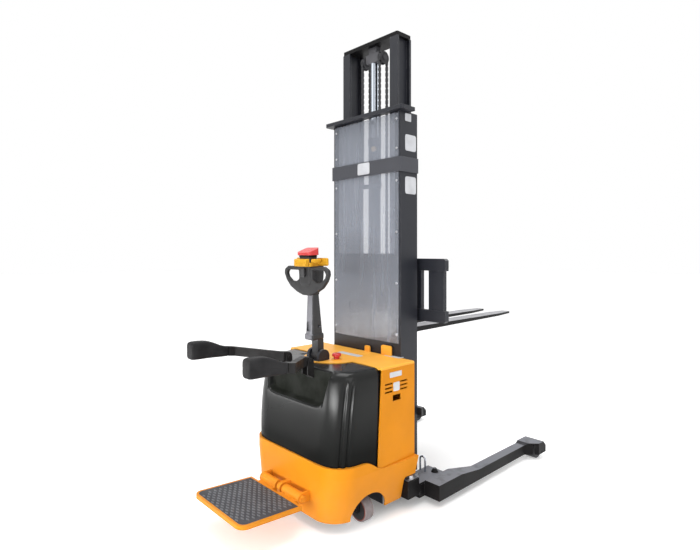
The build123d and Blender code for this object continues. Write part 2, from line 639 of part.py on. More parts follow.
def lashing_eye():
    """Bent round bar standing on the right-hand foot plate."""
    x, y = EYE_AT
    z0 = SLEEVE_Z[1]
    z1 = z0 + EYE_HEIGHT - EYE_HALF - EYE_BAR_R
    bow = Pos(x, y, z1) * Rot(90, 0, 0) * Torus(EYE_HALF, EYE_BAR_R)
    bow &= block(x - 40, x + 40, y - 10, y + 10, z1, z1 + 60)
    for side in (-1, 1):
        bow += bar_z(EYE_BAR_R, z0, z1, x + side * EYE_HALF, y)
    return bow


def clamp_bolts():
    """Hexagon bolts with washers that clamp the legs and the step blocks."""
    bolts = []
    for x, y, z in BOLT_AT:
        bolt = bar_z(WASHER_R, z, z + WASHER_THICK, x, y)
        bolt += Pos(x, y, z + WASHER_THICK) * extrude(RegularPolygon(BOLT_R, 6), BOLT_HEAD)
        bolts += [bolt, mirrored(bolt)]
    return bolts


def body_plan(half, rear_y, front_y, corner, inset=0.0):
    """Plan of the body: sides that close in slightly towards a rear with two round corners."""
    rear, front = half[0] - inset, half[1] - inset
    y0, y1 = rear_y + inset, front_y - inset
    outline = [(front, y1), (rear, y0), (-rear, y0), (-front, y1)]
    face = make_face(Polyline(*outline, close=True))
    return fillet(face.vertices().group_by(Axis.Y)[0], corner - inset)


def above_ledge(drop=0.0):
    """Space above the ledge that runs round the skirt, high at the rear and low along the sides."""
    rear, side = LEDGE_REAR_Z - drop, LEDGE_SIDE_Z - drop
    y0, y1 = LEDGE_BEND_Y
    middle = (y0 + y1) / 2
    front_y, rear_y, top = SKIRT_FRONT_Y + 100, SKIRT_REAR_Y - 100, BODY_TOP_Z + 200
    line = Bezier((y1, side), (middle, side), (middle, rear), (y0, rear))
    line += Polyline((y0, rear), (rear_y, rear), (rear_y, top), (front_y, top), (front_y, side), (y1, side))
    return extrude(Plane.YZ * make_face(line), 600, both=True)


def skirt_body(inset=0.0):
    """Solid of the skirt before it is hollowed, or its inside."""
    low = body_plan(SKIRT_BOTTOM_HALF, SKIRT_REAR_Y, SKIRT_FRONT_Y, SKIRT_CORNER, inset)
    high = body_plan(SKIRT_TOP_HALF, SKIRT_REAR_Y, SKIRT_FRONT_Y, SKIRT_CORNER, inset)
    shape = loft([Pos(0, 0, SKIRT_Z) * low, Pos(0, 0, LEDGE_SIDE_Z) * high])
    return shape + Pos(0, 0, LEDGE_SIDE_Z) * extrude(high, LEDGE_REAR_Z - LEDGE_SIDE_Z + 20)


def chassis_skirt():
    """Lower body with a ledge for the covers, open below, with a wheel arch and a front notch on each side."""
    skirt = skirt_body() - above_ledge()
    skirt -= skirt_body(SKIRT_WALL) - above_ledge(LEDGE_THICK)
    mouth = body_plan(SKIRT_TOP_HALF, SKIRT_REAR_Y, SKIRT_FRONT_Y, SKIRT_CORNER, LEDGE_LIP)
    skirt -= Pos(0, 0, DECK_TOP_Z) * extrude(mouth, 100)
    y0, y1 = ARCH_Y - ARCH_HALF, ARCH_Y + ARCH_HALF
    arch = ThreePointArc((y0, ARCH_SHOULDER_Z), (ARCH_Y, ARCH_TOP_Z), (y1, ARCH_SHOULDER_Z))
    arch += Polyline((y1, ARCH_SHOULDER_Z), (y1, 0), (y0, 0), (y0, ARCH_SHOULDER_Z))
    skirt -= extrude(Plane.YZ * make_face(arch), 600, both=True)
    notch = block(NOTCH_X, 600, NOTCH_REAR_Y, SKIRT_FRONT_Y + 10, 0, NOTCH_TOP_Z)
    notch = fillet(notch.edges().filter_by(Axis.X).group_by(Axis.Z)[-1].sort_by(Axis.Y)[0], 14)
    return skirt - notch - mirrored(notch)


def deck_plate():
    """Floor of the machine space, cut to the inside of the skirt, with the steering hole."""
    deck = skirt_body(SKIRT_WALL) & block(-600, 600, SKIRT_REAR_Y, SKIRT_FRONT_Y, DECK_Z, DECK_TOP_Z)
    return deck - bar_z(NECK_R + 6, DECK_Z, DECK_TOP_Z, 0, STEER_Y)


def ahead_of_seam(shift=0.0):
    """Space on the mast side of the seam between hood and top cover, with the round island by the tiller."""
    low, high = SEAM_SIDE_Y[0] + shift, SEAM_SIDE_Y[1] + shift
    top = BODY_TOP_Z + 100
    outline = [(low, 0), (low, LEDGE_SIDE_Z), (high, BODY_TOP_Z), (high, top), (100, top), (100, 0)]
    return side_profile(outline, -600, 600) + bar_z(ISLAND_R - shift, 0, top, 0, ISLAND_Y)


def side_window(y, z, size):
    """Opening through both side panels."""
    return Pos(0, y, z) * Box(2 * BODY_HALF, *size)


def body_shell():
    """Side panels with louvres and a hand recess, joined by the panel behind the mast."""
    top = BODY_TOP_Z - BODY_TOP_THICK
    inner = BODY_HALF - BODY_WALL
    shell = block(-BODY_HALF, BODY_HALF, SEAM_SIDE_Y[0], BODY_FRONT_Y, LEDGE_SIDE_Z, top)
    shell -= block(-inner, inner, SEAM_SIDE_Y[0], BODY_FRONT_Y - BODY_WALL, LEDGE_SIDE_Z, top)
    shell = shell & ahead_of_seam() & above_ledge(-SLIDE_GAP)
    for column in (-0.5, 0.5):
        for row in (-1, 0, 1):
            y = LOUVRE_AT[0] + column * LOUVRE_PITCH[0]
            z = LOUVRE_AT[1] + row * LOUVRE_PITCH[1]
            shell -= side_window(y, z, LOUVRE)
    return shell - side_window(*RECESS_AT, RECESS)


def body_top_cover():
    """Top cover with rolled sides, an island round the tiller, upstands at the mast and the stop's collar."""
    low = BODY_TOP_Z - BODY_TOP_THICK
    cover = block(-BODY_HALF, BODY_HALF, ISLAND_Y - ISLAND_R, BODY_FRONT_Y, low, BODY_TOP_Z)
    cover = fillet(cover.edges().filter_by(Axis.Y).group_by(Axis.Z)[-1], TOP_EDGE_R)
    cover &= ahead_of_seam()
    cover -= bar_z(TURRET_R, low, BODY_TOP_Z, 0, STEER_Y)
    for x0, x1, height in UPSTANDS:
        upstand = block(x0, x1, BODY_FRONT_Y - UPSTAND_THICK, BODY_FRONT_Y, low, BODY_TOP_Z + height)
        cover += fillet(upstand.edges().filter_by(Axis.Y).group_by(Axis.Z)[-1], 12)
    cover += bar_z(ESTOP_HEAD_R + 3, BODY_TOP_Z, BODY_TOP_Z + ESTOP_COLLAR, *ESTOP_AT)
    return cover - bar_z(ESTOP_STEM_R + SHAFT_GAP, low, BODY_TOP_Z + ESTOP_COLLAR, *ESTOP_AT)


def hood_recess(grow=0.0):
    """Trapezoid sunk into the back of the hood, open at the top."""
    low, high = HOOD_RECESS_HALF[0] + grow, HOOD_RECESS_HALF[1] + grow
    z0, z1 = HOOD_RECESS_Z - grow, HOOD_TOP_Z
    outline = [(-low, z0), (low, z0), (high, z1), (high, z1 + 100), (-high, z1 + 100), (-high, z1)]
    face = make_face(Polyline(*outline, close=True))
    face = fillet(face.vertices().group_by(Axis.Y)[0], HOOD_RECESS_CORNER + grow)
    return Pos(0, HOOD_RECESS_Y + grow, 0) * extrude(Plane.XZ * face, 300)


def hood_flute(angles):
    """Groove up the right-hand rear corner of the hood, between angles from straight back at foot and top."""
    ends = []
    for half, rear_y, z, angle in ((HOOD_BOTTOM_HALF, HOOD_BOTTOM_REAR_Y, LEDGE_SIDE_Z - 10, angles[0]),
                                   (HOOD_TOP_HALF, HOOD_TOP_REAR_Y, HOOD_TOP_Z - HOOD_EDGE_R - 12, angles[1])):
        slope = (half[1] - half[0]) / (HOOD_FRONT_Y - rear_y)
        centre_x = half[0] + HOOD_CORNER * (slope - sqrt(1 + slope ** 2))
        reach = HOOD_CORNER + FLUTE_R * 0.45
        turn = radians(angle)
        ends.append((centre_x + reach * sin(turn), rear_y + HOOD_CORNER - reach * cos(turn), z))
    path = Line(*ends)
    return sweep(Plane(origin=ends[0], z_dir=path % 0) * Circle(FLUTE_R), path=path)


def hood_body(inset=0.0):
    """Solid of the hood before it is hollowed, or its inside."""
    low = body_plan(HOOD_BOTTOM_HALF, HOOD_BOTTOM_REAR_Y, HOOD_FRONT_Y, HOOD_CORNER, inset)
    high = body_plan(HOOD_TOP_HALF, HOOD_TOP_REAR_Y, HOOD_FRONT_Y, HOOD_CORNER, inset)
    shape = loft([Pos(0, 0, LEDGE_SIDE_Z - 10) * low, Pos(0, 0, HOOD_TOP_Z - inset) * high])
    edges = shape.faces().sort_by(Axis.Z)[-1].edges() - shape.faces().sort_by(Axis.Y)[-1].edges()
    return fillet(edges, HOOD_EDGE_R - inset)


def rear_hood():
    """Moulded hood over the drive, with a sunk back panel and flutes up both rear corners."""
    hood = hood_body() - hood_recess()
    for angles in FLUTE_ANGLES:
        flute = hood_flute(angles)
        hood -= flute
        hood -= mirrored(flute)
    hood -= hood_body(HOOD_WALL) - hood_recess(HOOD_WALL)
    hood &= above_ledge(-SLIDE_GAP)
    return hood - ahead_of_seam(-SEAM)


def battery_pack():
    """Two batteries side by side under the top cover, each with a lid and two posts."""
    x0, x1 = BATTERY_X
    y0, y1 = BATTERY_Y
    lid, lid_height = BATTERY_LID
    top = DECK_TOP_Z + BATTERY_HEIGHT
    battery = block(x0, x1, y0, y1, DECK_TOP_Z, top)
    battery += block(x0 - lid, x1 + lid, y0 - lid, y1 + lid, top, top + lid_height)
    post_r, post_height = BATTERY_POST
    top += lid_height
    for x in BATTERY_POST_X:
        battery += bar_z(post_r, top, top + post_height, x, BATTERY_POST_Y)
    return [battery, mirrored(battery)]


def hydraulic_unit():
    """Oil tank with the pump and its motor standing on it."""
    top = DECK_TOP_Z + TANK_HEIGHT
    tank = block(*TANK_X, *TANK_Y, DECK_TOP_Z, top)
    tank = fillet(tank.edges().filter_by(Axis.Z), 12)
    pump = bar_z(PUMP_R[0], top, top + PUMP_HEIGHT[0], *PUMP_AT)
    pump += bar_z(PUMP_R[1], top + PUMP_HEIGHT[0], top + sum(PUMP_HEIGHT), *PUMP_AT)
    return [tank, pump]


def motor_controller():
    """Finned power unit on the deck."""
    x0, x1 = CONTROLLER_X
    y0, y1 = CONTROLLER_Y
    top = DECK_TOP_Z + CONTROLLER_HEIGHT
    unit = block(x0, x1, y0, y1, DECK_TOP_Z, top)
    for index in range(int((x1 - x0) / FIN_PITCH) + 1):
        x = x0 + FIN_THICK + index * FIN_PITCH
        unit += block(x, x + FIN_THICK, y0 + 6, y1 - 6, top, top + FIN_HEIGHT)
    return unit


def drive_gearbox():
    """Steered gearbox: turntable flange, neck through the deck and a side case for the wheel shaft."""
    flange_top = DECK_Z - 0.5
    box = bar_z(FLANGE_R, flange_top - 12, flange_top, 0, STEER_Y)
    box += bar_z(NECK_R, flange_top, MOTOR_Z, 0, STEER_Y)
    x0, x1 = GEARBOX_X
    box += bar_x(GEARBOX_R, x0, x1, STEER_Y, DRIVE_WHEEL_R)
    box += block(x0, x1, STEER_Y - GEARBOX_R, STEER_Y + GEARBOX_R, DRIVE_WHEEL_R, flange_top - 12)
    return box - bar_x(DRIVE_SHAFT_R + SHAFT_GAP, x0, x1 - 22, STEER_Y, DRIVE_WHEEL_R)


def drive_wheel():
    """Drive wheel with the shaft that enters the gearbox."""
    half = DRIVE_WHEEL_WIDTH / 2
    wheel = bar_x(DRIVE_WHEEL_R, -half, half, STEER_Y, DRIVE_WHEEL_R)
    wheel = fillet(wheel.edges().filter_by(GeomType.CIRCLE), 9)
    wheel -= bar_x(DRIVE_WHEEL_R * 0.6, -half, -half + 14, STEER_Y, DRIVE_WHEEL_R)
    return wheel + bar_x(DRIVE_SHAFT_R, -half, GEARBOX_X[1] - 24, STEER_Y, DRIVE_WHEEL_R)


def drive_motor():
    """Upright drive motor with a brake on top and cooling ribs round it."""
    z1 = MOTOR_Z + MOTOR_HEIGHT
    motor = bar_z(MOTOR_R - 6, MOTOR_Z, z1, 0, STEER_Y) + bar_z(BRAKE_R, z1, z1 + BRAKE_HEIGHT, 0, STEER_Y)
    for index in range(6):
        rib_z = MOTOR_Z + index * 36
        motor += bar_z(MOTOR_R, rib_z, rib_z + 18, 0, STEER_Y)
    return motor


def tiller_base():
    """Steering post with a round hub in the top cover, a fork head and the pin the tiller tilts on."""
    half_x, half_y = TILLER_BASE_HALF
    bottom = MOTOR_Z + MOTOR_HEIGHT + BRAKE_HEIGHT
    base = bar_z(POST_R, bottom, TILLER_HUB_Z, 0, STEER_Y)
    base += bar_z(BRAKE_R - 8, bottom, bottom + 10, 0, STEER_Y)
    base += bar_z(TILLER_HUB_R, TILLER_HUB_Z, TILLER_BASE_Z, 0, STEER_Y)
    base += block(-half_x, half_x, STEER_Y - half_y, STEER_Y + half_y, TILLER_BASE_Z, TILLER_PIVOT_Z)
    base += bar_x(half_y, -half_x, half_x, STEER_Y, TILLER_PIVOT_Z) - block(
        -half_x, half_x, STEER_Y - half_y, STEER_Y + half_y, 0, TILLER_BASE_Z)
    slot = half_x - TILLER_CHEEK
    base -= block(-slot, slot, STEER_Y - half_x, STEER_Y + half_x,
                  TILLER_PIVOT_Z - ARM_HUB_R - 4, TILLER_PIVOT_Z + 60)
    base -= bar_x(TILLER_PIN_R, -half_x, half_x, STEER_Y, TILLER_PIVOT_Z)
    return [base, bar_x(TILLER_PIN_R, -half_x, half_x, STEER_Y, TILLER_PIVOT_Z)]


def leaned(shape):
    """Puts a tiller piece, built upright about the pivot, in its leaning place on the machine."""
    return Pos(0, STEER_Y, TILLER_PIVOT_Z) * Rot(TILLER_LEAN, 0, 0) * shape


def tiller_arm():
    """Cast tiller column behind its hub: neck, collar and a long taper up to the head."""
    slot = TILLER_BASE_HALF[0] - TILLER_CHEEK - SLIDE_GAP
    arm = bar_x(ARM_HUB_R, -slot, slot, 0, 0)
    arm += block(-ARM_POST[0] / 2, ARM_POST[0] / 2, -ARM_POST[1] / 2, ARM_POST[1] / 2, 0, ARM_COLLAR_Z[0])
    half_x, half_y = ARM_COLLAR[0] / 2, ARM_COLLAR[1] / 2
    collar = block(-half_x, half_x, ARM_OFFSET_Y - half_y, ARM_OFFSET_Y + half_y, *ARM_COLLAR_Z)
    arm += chamfer(collar.edges(), 6)
    arm += loft([Pos(0, ARM_OFFSET_Y, ARM_COLLAR_Z[1]) * RectangleRounded(*ARM_BOTTOM, 12),
                 Pos(0, ARM_OFFSET_Y, HEAD_Z) * RectangleRounded(*ARM_TOP, 9)])
    width, height, depth = ARM_CLIP
    face_y = ARM_OFFSET_Y - ARM_BOTTOM[1] / 2
    z = ARM_COLLAR_Z[1] + 14
    arm -= block(-width / 2, width / 2, face_y - 10, face_y + depth, z, z + height)
    arm -= bar_x(ARM_HOLE_R, -ARM_BOTTOM[0], ARM_BOTTOM[0], ARM_OFFSET_Y + 10, z + height / 2)
    return leaned(arm - bar_x(TILLER_PIN_R + SHAFT_GAP, -slot, slot, 0, 0))


def rounded_outline(points, radius):
    """Closed outline on the tiller's own front plane with all its corners rounded."""
    face = make_face(Polyline(*points, close=True))
    return Plane.XZ * fillet(face.vertices(), radius)


def tiller_head():
    """Moulded head with two closed loop grips that run into the neck."""
    outer = [(x, HEAD_Z + z) for x, z in GRIP_OUTLINE]
    outer += [(-x, z) for x, z in reversed(outer)]
    grips = extrude(rounded_outline(outer, 14), GRIP_THICK / 2, both=True)
    hole = extrude(rounded_outline([(x, HEAD_Z + z) for x, z in GRIP_HOLE], 9), GRIP_THICK, both=True)
    grips -= hole
    grips -= mirrored(hole)
    grips = fillet(grips.edges().filter_by(Plane.XZ), GRIP_EDGE)
    half_y = HEAD_BODY[1] / 2
    full = RectangleRounded(*HEAD_BODY, 14)
    body = loft([Pos(0, ARM_OFFSET_Y, HEAD_Z) * RectangleRounded(ARM_TOP[0] + 8, ARM_TOP[1] + 6, 12),
                 Pos(0, HEAD_OFFSET_Y, HEAD_Z + 60) * full])
    body += Pos(0, HEAD_OFFSET_Y, HEAD_Z + 60) * extrude(full, HEAD_TOP_Z - HEAD_Z - 60)
    head = body + Pos(0, HEAD_OFFSET_Y + GRIP_OFFSET_Y, 0) * grips
    half = ROCKER_SIZE[0] / 2 + 1
    head -= bar_x(ROCKER_SIZE[2] - 0.6, -half, half, HEAD_OFFSET_Y - half_y + 2, ROCKER_Z)
    reach = HEAD_BODY[0] / 2
    head -= bar_x(THROTTLE_SHAFT_R + SHAFT_GAP, -reach, reach, HEAD_OFFSET_Y + THROTTLE_Y, THROTTLE_Z)
    bottom = THROTTLE_Z + THROTTLE_SHAFT_R + 2
    return leaned(head - bar_z(BELLY_STEM_R + SHAFT_GAP, bottom, HEAD_TOP_Z, 0, HEAD_OFFSET_Y))


def head_cover():
    """Band round the head above the grips, with a wing ahead of each throttle paddle."""
    height = COVER_Z[1] - COVER_Z[0]
    inner = RectangleRounded(HEAD_BODY[0] + 2 * SHAFT_GAP, HEAD_BODY[1] + 2 * SHAFT_GAP, 14 + SHAFT_GAP)
    band = extrude(RectangleRounded(*COVER_SIZE, 20), height) - extrude(inner, height)
    cover = Pos(0, HEAD_OFFSET_Y, COVER_Z[0]) * band
    y0, y1 = HEAD_OFFSET_Y + WING_Y[0], HEAD_OFFSET_Y + WING_Y[1]
    wing = block(COVER_SIZE[0] / 2 - 5, WING_X, y0, y1, COVER_Z[0] + 2, WING_TOP_Z)
    wing = fillet(wing.edges().filter_by(Axis.Y).group_by(Axis.X)[-1], 10)
    return leaned(cover + wing + mirrored(wing))


def belly_button():
    """Safety button that caps the tiller and slopes down to the operator, on a short guide stem."""
    z0 = HEAD_TOP_Z + BELLY_TRAVEL
    low, high = BELLY_HEIGHT
    half_x, half_y = BELLY_SIZE[0] / 2, BELLY_SIZE[1] / 2
    button = extrude(RectangleRounded(*BELLY_SIZE, 18), high)
    slope = side_profile([(-half_y, 0), (half_y, 0), (half_y, high), (-half_y, low)], -half_x, half_x)
    button = Pos(0, HEAD_OFFSET_Y, z0) * (button & slope)
    return leaned(button + bar_z(BELLY_STEM_R, HEAD_TOP_Z - 4, z0, 0, HEAD_OFFSET_Y))


def throttle():
    """Butterfly throttle: a paddle beside each grip on one shaft through the head."""
    x0, x1 = THROTTLE_X
    y = HEAD_OFFSET_Y + THROTTLE_Y
    lever = bar_x(THROTTLE_SHAFT_R, -x1, x1, y, THROTTLE_Z)
    half_y, half_z = PADDLE[0] / 2, PADDLE[1] / 2
    paddle = block(x0, x1, y - half_y, y + half_y, THROTTLE_Z - half_z, THROTTLE_Z + half_z)
    paddle = fillet(paddle.edges().filter_by(Axis.X), half_z - 1)
    return leaned(lever + paddle + mirrored(paddle))


def lift_rocker():
    """Rocker on the back of the head for lifting and lowering."""
    half = ROCKER_SIZE[0] / 2
    y = HEAD_OFFSET_Y - HEAD_BODY[1] / 2 + 2
    rocker = bar_x(ROCKER_SIZE[2] - 1, -half, half, y, ROCKER_Z)
    plate = block(-half, half, y - 15, y - 9, ROCKER_Z - ROCKER_SIZE[1] / 2, ROCKER_Z + ROCKER_SIZE[1] / 2)
    return leaned(rocker + chamfer(plate.edges().group_by(Axis.Y)[0], 2))


def arm_bracket():
    """Right-hand bracket on the hood's sunk back, with two cheeks and the folding arm's pin."""
    y, z = ARM_PIVOT
    back, foot = HOOD_RECESS_Y, BRACKET_Z[0]
    reach = ARM_BAR[0] / 2 + SLIDE_GAP + BRACKET_CHEEK
    x0, x1 = ARM_ROOT_X - reach, ARM_ROOT_X + reach
    bracket = block(x0, x1, back - BRACKET_BASE, back, *BRACKET_Z)
    outline = [(back, foot), (back, z), (y - BRACKET_EYE_R, z), (y - BRACKET_EYE_R, foot + 20)]
    for start in (x0, x1 - BRACKET_CHEEK):
        bracket += side_profile(outline, start, start + BRACKET_CHEEK)
        bracket += bar_x(BRACKET_EYE_R, start, start + BRACKET_CHEEK, y, z)
    bracket -= bar_x(ARM_PIN_R, x0, x1, y, z)
    return [bracket, bar_x(ARM_PIN_R, x0 - 3, x1 + 3, y, z)]


def side_arm():
    """Right-hand folding arm: a flat bar that splays out and rises from its eye to the pad."""
    y, z = ARM_PIVOT
    neck_y, neck_z = ARM_NECK
    half_x, half_z = ARM_BAR[0] / 2, ARM_BAR[1] / 2
    root_y, bend_y = y - ARM_EYE, neck_y + ARM_BAR[0]
    line = [(ARM_ROOT_X, y), (ARM_ROOT_X, root_y), (ARM_X, bend_y), (ARM_X, neck_y)]
    plan = [(x + half_x, y) for x, y in line] + [(x - half_x, y) for x, y in reversed(line)]
    side = [(y, z - half_z), (y, z + half_z), (neck_y, neck_z + half_z), (neck_y, neck_z - half_z)]
    arm = plan_profile(plan, 0, 2 * neck_z) & side_profile(side, 0, 2 * ARM_X)
    x0, x1 = ARM_ROOT_X - half_x, ARM_ROOT_X + half_x
    arm += bar_x(half_z, x0, x1, y, z)
    return arm - bar_x(ARM_PIN_R + SHAFT_GAP, x0, x1, y, z)


def arm_pad():
    """Right-hand pad at the end of the folding arm, swelling towards its rounded end."""
    neck_y, neck_z = ARM_NECK
    swell_y = neck_y + (PAD_END_Y - neck_y) * 0.45
    sections = []
    for y, z, width, height in ((neck_y, neck_z, PAD_WIDTH[0], PAD_HEIGHT[0]),
                                (swell_y, (neck_z + 2 * PAD_CENTRE_Z) / 3, PAD_WIDTH[1], PAD_HEIGHT[1] - 6),
                                (PAD_END_Y, PAD_CENTRE_Z, PAD_WIDTH[1], PAD_HEIGHT[1])):
        sections.append(Pos(ARM_X, y, z) * Rot(90, 0, 0) * RectangleRounded(width, height, 16))
    pad = loft(sections)
    return fillet(pad.edges().group_by(Axis.Y)[0], 14)


def inclined(shape):
    """Raises the pedal, built level, by its rest angle about the hinge."""
    y, z = HINGE_AT
    return Pos(0, y, z) * Rot(-PEDAL_INCLINE, 0, 0) * Pos(0, -y, -z) * shape


def pedal_frame():
    """Folding platform frame with a sunk floor and two hinge barrels."""
    y0, y1 = PEDAL_Y
    frame = block(-PEDAL_HALF, PEDAL_HALF, y0, y1, *PEDAL_Z)
    frame = fillet(frame.edges().filter_by(Axis.Z).group_by(Axis.Y)[0], PEDAL_CORNER)
    frame -= pedal_pocket(PEDAL_Z[0] + PEDAL_FLOOR, PEDAL_Z[1], 0)
    y, z = HINGE_AT
    for side in (-1, 1):
        x0, x1 = sorted((side * HINGE_MIDDLE, side * (HINGE_HALF - LUG_THICK - 1)))
        frame += bar_x(HINGE_BARREL_R, x0, x1, y, z)
        frame += block(x0, x1, y1, y, PEDAL_Z[0], PEDAL_Z[1])
    return inclined(frame - bar_x(HINGE_PIN_R + SHAFT_GAP, -HINGE_HALF, HINGE_HALF, y, z))


def pedal_pocket(z0, z1, gap):
    """Space inside the pedal's rim, smaller all round by a gap."""
    y0, y1 = PEDAL_Y
    inset = PEDAL_RIM + gap
    pocket = block(-PEDAL_HALF + inset, PEDAL_HALF - inset, y0 + inset, y1 - inset, z0, z1)
    return fillet(pocket.edges().filter_by(Axis.Z).group_by(Axis.Y)[0], PEDAL_CORNER - inset)


def pedal_hinge():
    """Lugs on the back of the skirt, the hinge pin and its end nut."""
    y, z = HINGE_AT
    radius = HINGE_BARREL_R
    lugs = []
    for middle, half in ((LUG_THICK / 2 - HINGE_HALF, LUG_THICK / 2), (0, LUG_THICK),
                         (HINGE_HALF - LUG_THICK / 2, LUG_THICK / 2)):
        x0, x1 = middle - half, middle + half
        lug = block(x0, x1, y, SKIRT_REAR_Y, z - radius, z + radius) + bar_x(radius, x0, x1, y, z)
        lugs.append(lug - bar_x(HINGE_PIN_R, x0, x1, y, z))
    pin = bar_x(HINGE_PIN_R, -HINGE_HALF, HINGE_HALF + 14, y, z)
    nut = Pos(HINGE_HALF, y, z) * Rot(0, 90, 0) * extrude(RegularPolygon(17, 6), 11)
    return lugs + [pin + nut]


def caster_mount():
    """Right-hand block under the deck that takes a caster's stem."""
    x, y = CASTER_AT
    half = CASTER_MOUNT_HALF
    mount = block(x - half, x + half, y - half, y + half, CASTER_MOUNT_Z, DECK_Z)
    return mount - bar_z(CASTER_STEM_R + SHAFT_GAP, CASTER_MOUNT_Z, DECK_Z - 18, x, y)


def caster_fork():
    """Right-hand swivel fork with its stem and axle; the wheel stands to the outside."""
    x, y = CASTER_AT
    fork_body = bar_z(CASTER_CROWN_R, *CASTER_CROWN_Z, x, y)
    fork_body += bar_z(CASTER_STEM_R + 14, CASTER_CROWN_Z[1], CASTER_MOUNT_Z - SLIDE_GAP, x, y)
    fork_body += bar_z(CASTER_STEM_R, CASTER_CROWN_Z[1], DECK_Z - 20, x, y)
    axle_x = x + CASTER_TRAIL
    gap = CASTER_WIDTH / 2 + 2
    for y0, y1 in ((y - gap - CASTER_CHEEK, y - gap), (y + gap, y + gap + CASTER_CHEEK)):
        cheek = block(x - 24, axle_x + 16, y0, y1, CASTER_R - 16, CASTER_CROWN_Z[1])
        cheek = fillet(cheek.edges().filter_by(Axis.Y).group_by(Axis.Z)[0].sort_by(Axis.X)[-1], 14)
        cheek = chamfer(cheek.edges().filter_by(Axis.Y).group_by(Axis.Z)[0].sort_by(Axis.X)[0], 30)
        fork_body += cheek
    reach = gap + CASTER_CHEEK
    fork_body -= bar_y(CASTER_AXLE_R, y - reach, y + reach, axle_x, CASTER_R)
    return [fork_body, bar_y(CASTER_AXLE_R, y - reach - 4, y + reach + 4, axle_x, CASTER_R)]


def caster_wheel():
    """Right-hand caster wheel."""
    x, y = CASTER_AT[0] + CASTER_TRAIL, CASTER_AT[1]
    half = CASTER_WIDTH / 2
    wheel = bar_y(CASTER_R, y - half, y + half, x, CASTER_R)
    wheel = fillet(wheel.edges().filter_by(GeomType.CIRCLE), 9)
    return wheel - bar_y(CASTER_AXLE_R + SHAFT_GAP, y - half, y + half, x, CASTER_R)


def estop_button():
    """Mushroom button on a stem through the top cover."""
    z0 = BODY_TOP_Z + ESTOP_LIFT
    head = bar_z(ESTOP_HEAD_R, z0, z0 + ESTOP_HEIGHT, *ESTOP_AT)
    head = fillet(head.edges().group_by(Axis.Z)[-1], 9)
    return head + bar_z(ESTOP_STEM_R, BODY_TOP_Z - BODY_TOP_THICK - 4, z0, *ESTOP_AT)


node("chassis_skirt", chassis_skirt())
node("deck_plate", deck_plate())
node("slew_ring", bar_z(RING_R, DECK_TOP_Z, DECK_TOP_Z + RING_HEIGHT, 0, STEER_Y)
     - bar_z(NECK_R + SHAFT_GAP, DECK_TOP_Z, DECK_TOP_Z + RING_HEIGHT, 0, STEER_Y))
node("caster_mounts", caster_mount(), mirrored(caster_mount()))
node("body_shell", body_shell())
node("body_top_cover", body_top_cover())
node("rear_hood", rear_hood())
node("battery_pack", *battery_pack())
node("hydraulic_unit", *hydraulic_unit())
node("motor_controller", motor_controller())
node("base_sleeve", sleeve())
node("mast_feet", *mast_feet())
node("lashing_eyes", lashing_eye(), mirrored(lashing_eye()))
node("clamp_bolts", *clamp_bolts())
node("outer_mast", *outer_mast())
node("mast_top_frame", mast_top_frame())
node("mast_band", mast_band())
node("mast_guard", block(-GUARD_HALF, GUARD_HALF, GUARD_REAR_Y, MAST_REAR_Y, *GUARD_Z))
node("guard_screws", *guard_screws())
node("limit_switch", block(*SWITCH_X, MAST_FRONT_Y, MAST_FRONT_Y + SWITCH_DEPTH, *SWITCH_Z))
node("lift_cylinder", lift_cylinder())
node("pedal_hinge", *pedal_hinge())
node("arm_brackets", *arm_bracket(), *[mirrored(piece) for piece in arm_bracket()])
node("inner_mast", *inner_mast())
node("inner_mast_beams", *inner_mast_beams())
node("lift_crosshead", lift_crosshead())
node("lift_rod", lift_rod())
node("chain_pulley_right", chain_pulley())
node("chain_pulley_left", mirrored(chain_pulley()))
node("lift_chain_rear", *chain_runs(CYLINDER_Y - CHAIN_PITCH_R, CHAIN_ANCHOR_Z))
node("lift_chain_front", *chain_runs(CYLINDER_Y + CHAIN_PITCH_R, LOWER_BAR_Z[1] + CHAIN_LUG_HEIGHT))
node("carriage_bars", *carriage_bars())
node("carriage_frame", *carriage_frame())
node("fork_right", fork())
node("fork_left", mirrored(fork()))
node("leg_right", *straddle_leg())
node("leg_left", *[mirrored(piece) for piece in straddle_leg()])
node("load_wheel_right", load_wheel())
node("load_wheel_left", mirrored(load_wheel()))
node("drive_gearbox", drive_gearbox())
node("drive_motor", drive_motor())
node("drive_wheel", drive_wheel())
node("tiller_base", *tiller_base())
node("tiller_arm", tiller_arm())
node("tiller_head", tiller_head())
node("head_cover", head_cover())
node("belly_button", belly_button())
node("throttle", throttle())
node("lift_rocker", lift_rocker())
node("arm_right", side_arm())
node("arm_left", mirrored(side_arm()))
node("arm_pad_right", arm_pad())
node("arm_pad_left", mirrored(arm_pad()))
node("pedal_frame", pedal_frame())
node("pedal_mat", inclined(pedal_pocket(PEDAL_Z[0] + PEDAL_FLOOR, PEDAL_Z[1] + MAT_PROUD, SLIDE_GAP)))
node("caster_fork_right", *caster_fork())
node("caster_fork_left", *[mirrored(piece) for piece in caster_fork()])
node("caster_wheel_right", caster_wheel())
node("caster_wheel_left", mirrored(caster_wheel()))
node("estop_button", estop_button())

os.makedirs("parts", exist_ok=True)
for name, solids in NODES.items():
    placed = [Pos(0, -MIDDLE_Y, 0) * solid for solid in solids]
    export_step(placed[0] if len(placed) == 1 else Compound(children=placed), f"parts/{name}.step")
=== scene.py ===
import json
import math

import bmesh
import bpy
from mathutils import Matrix, Vector


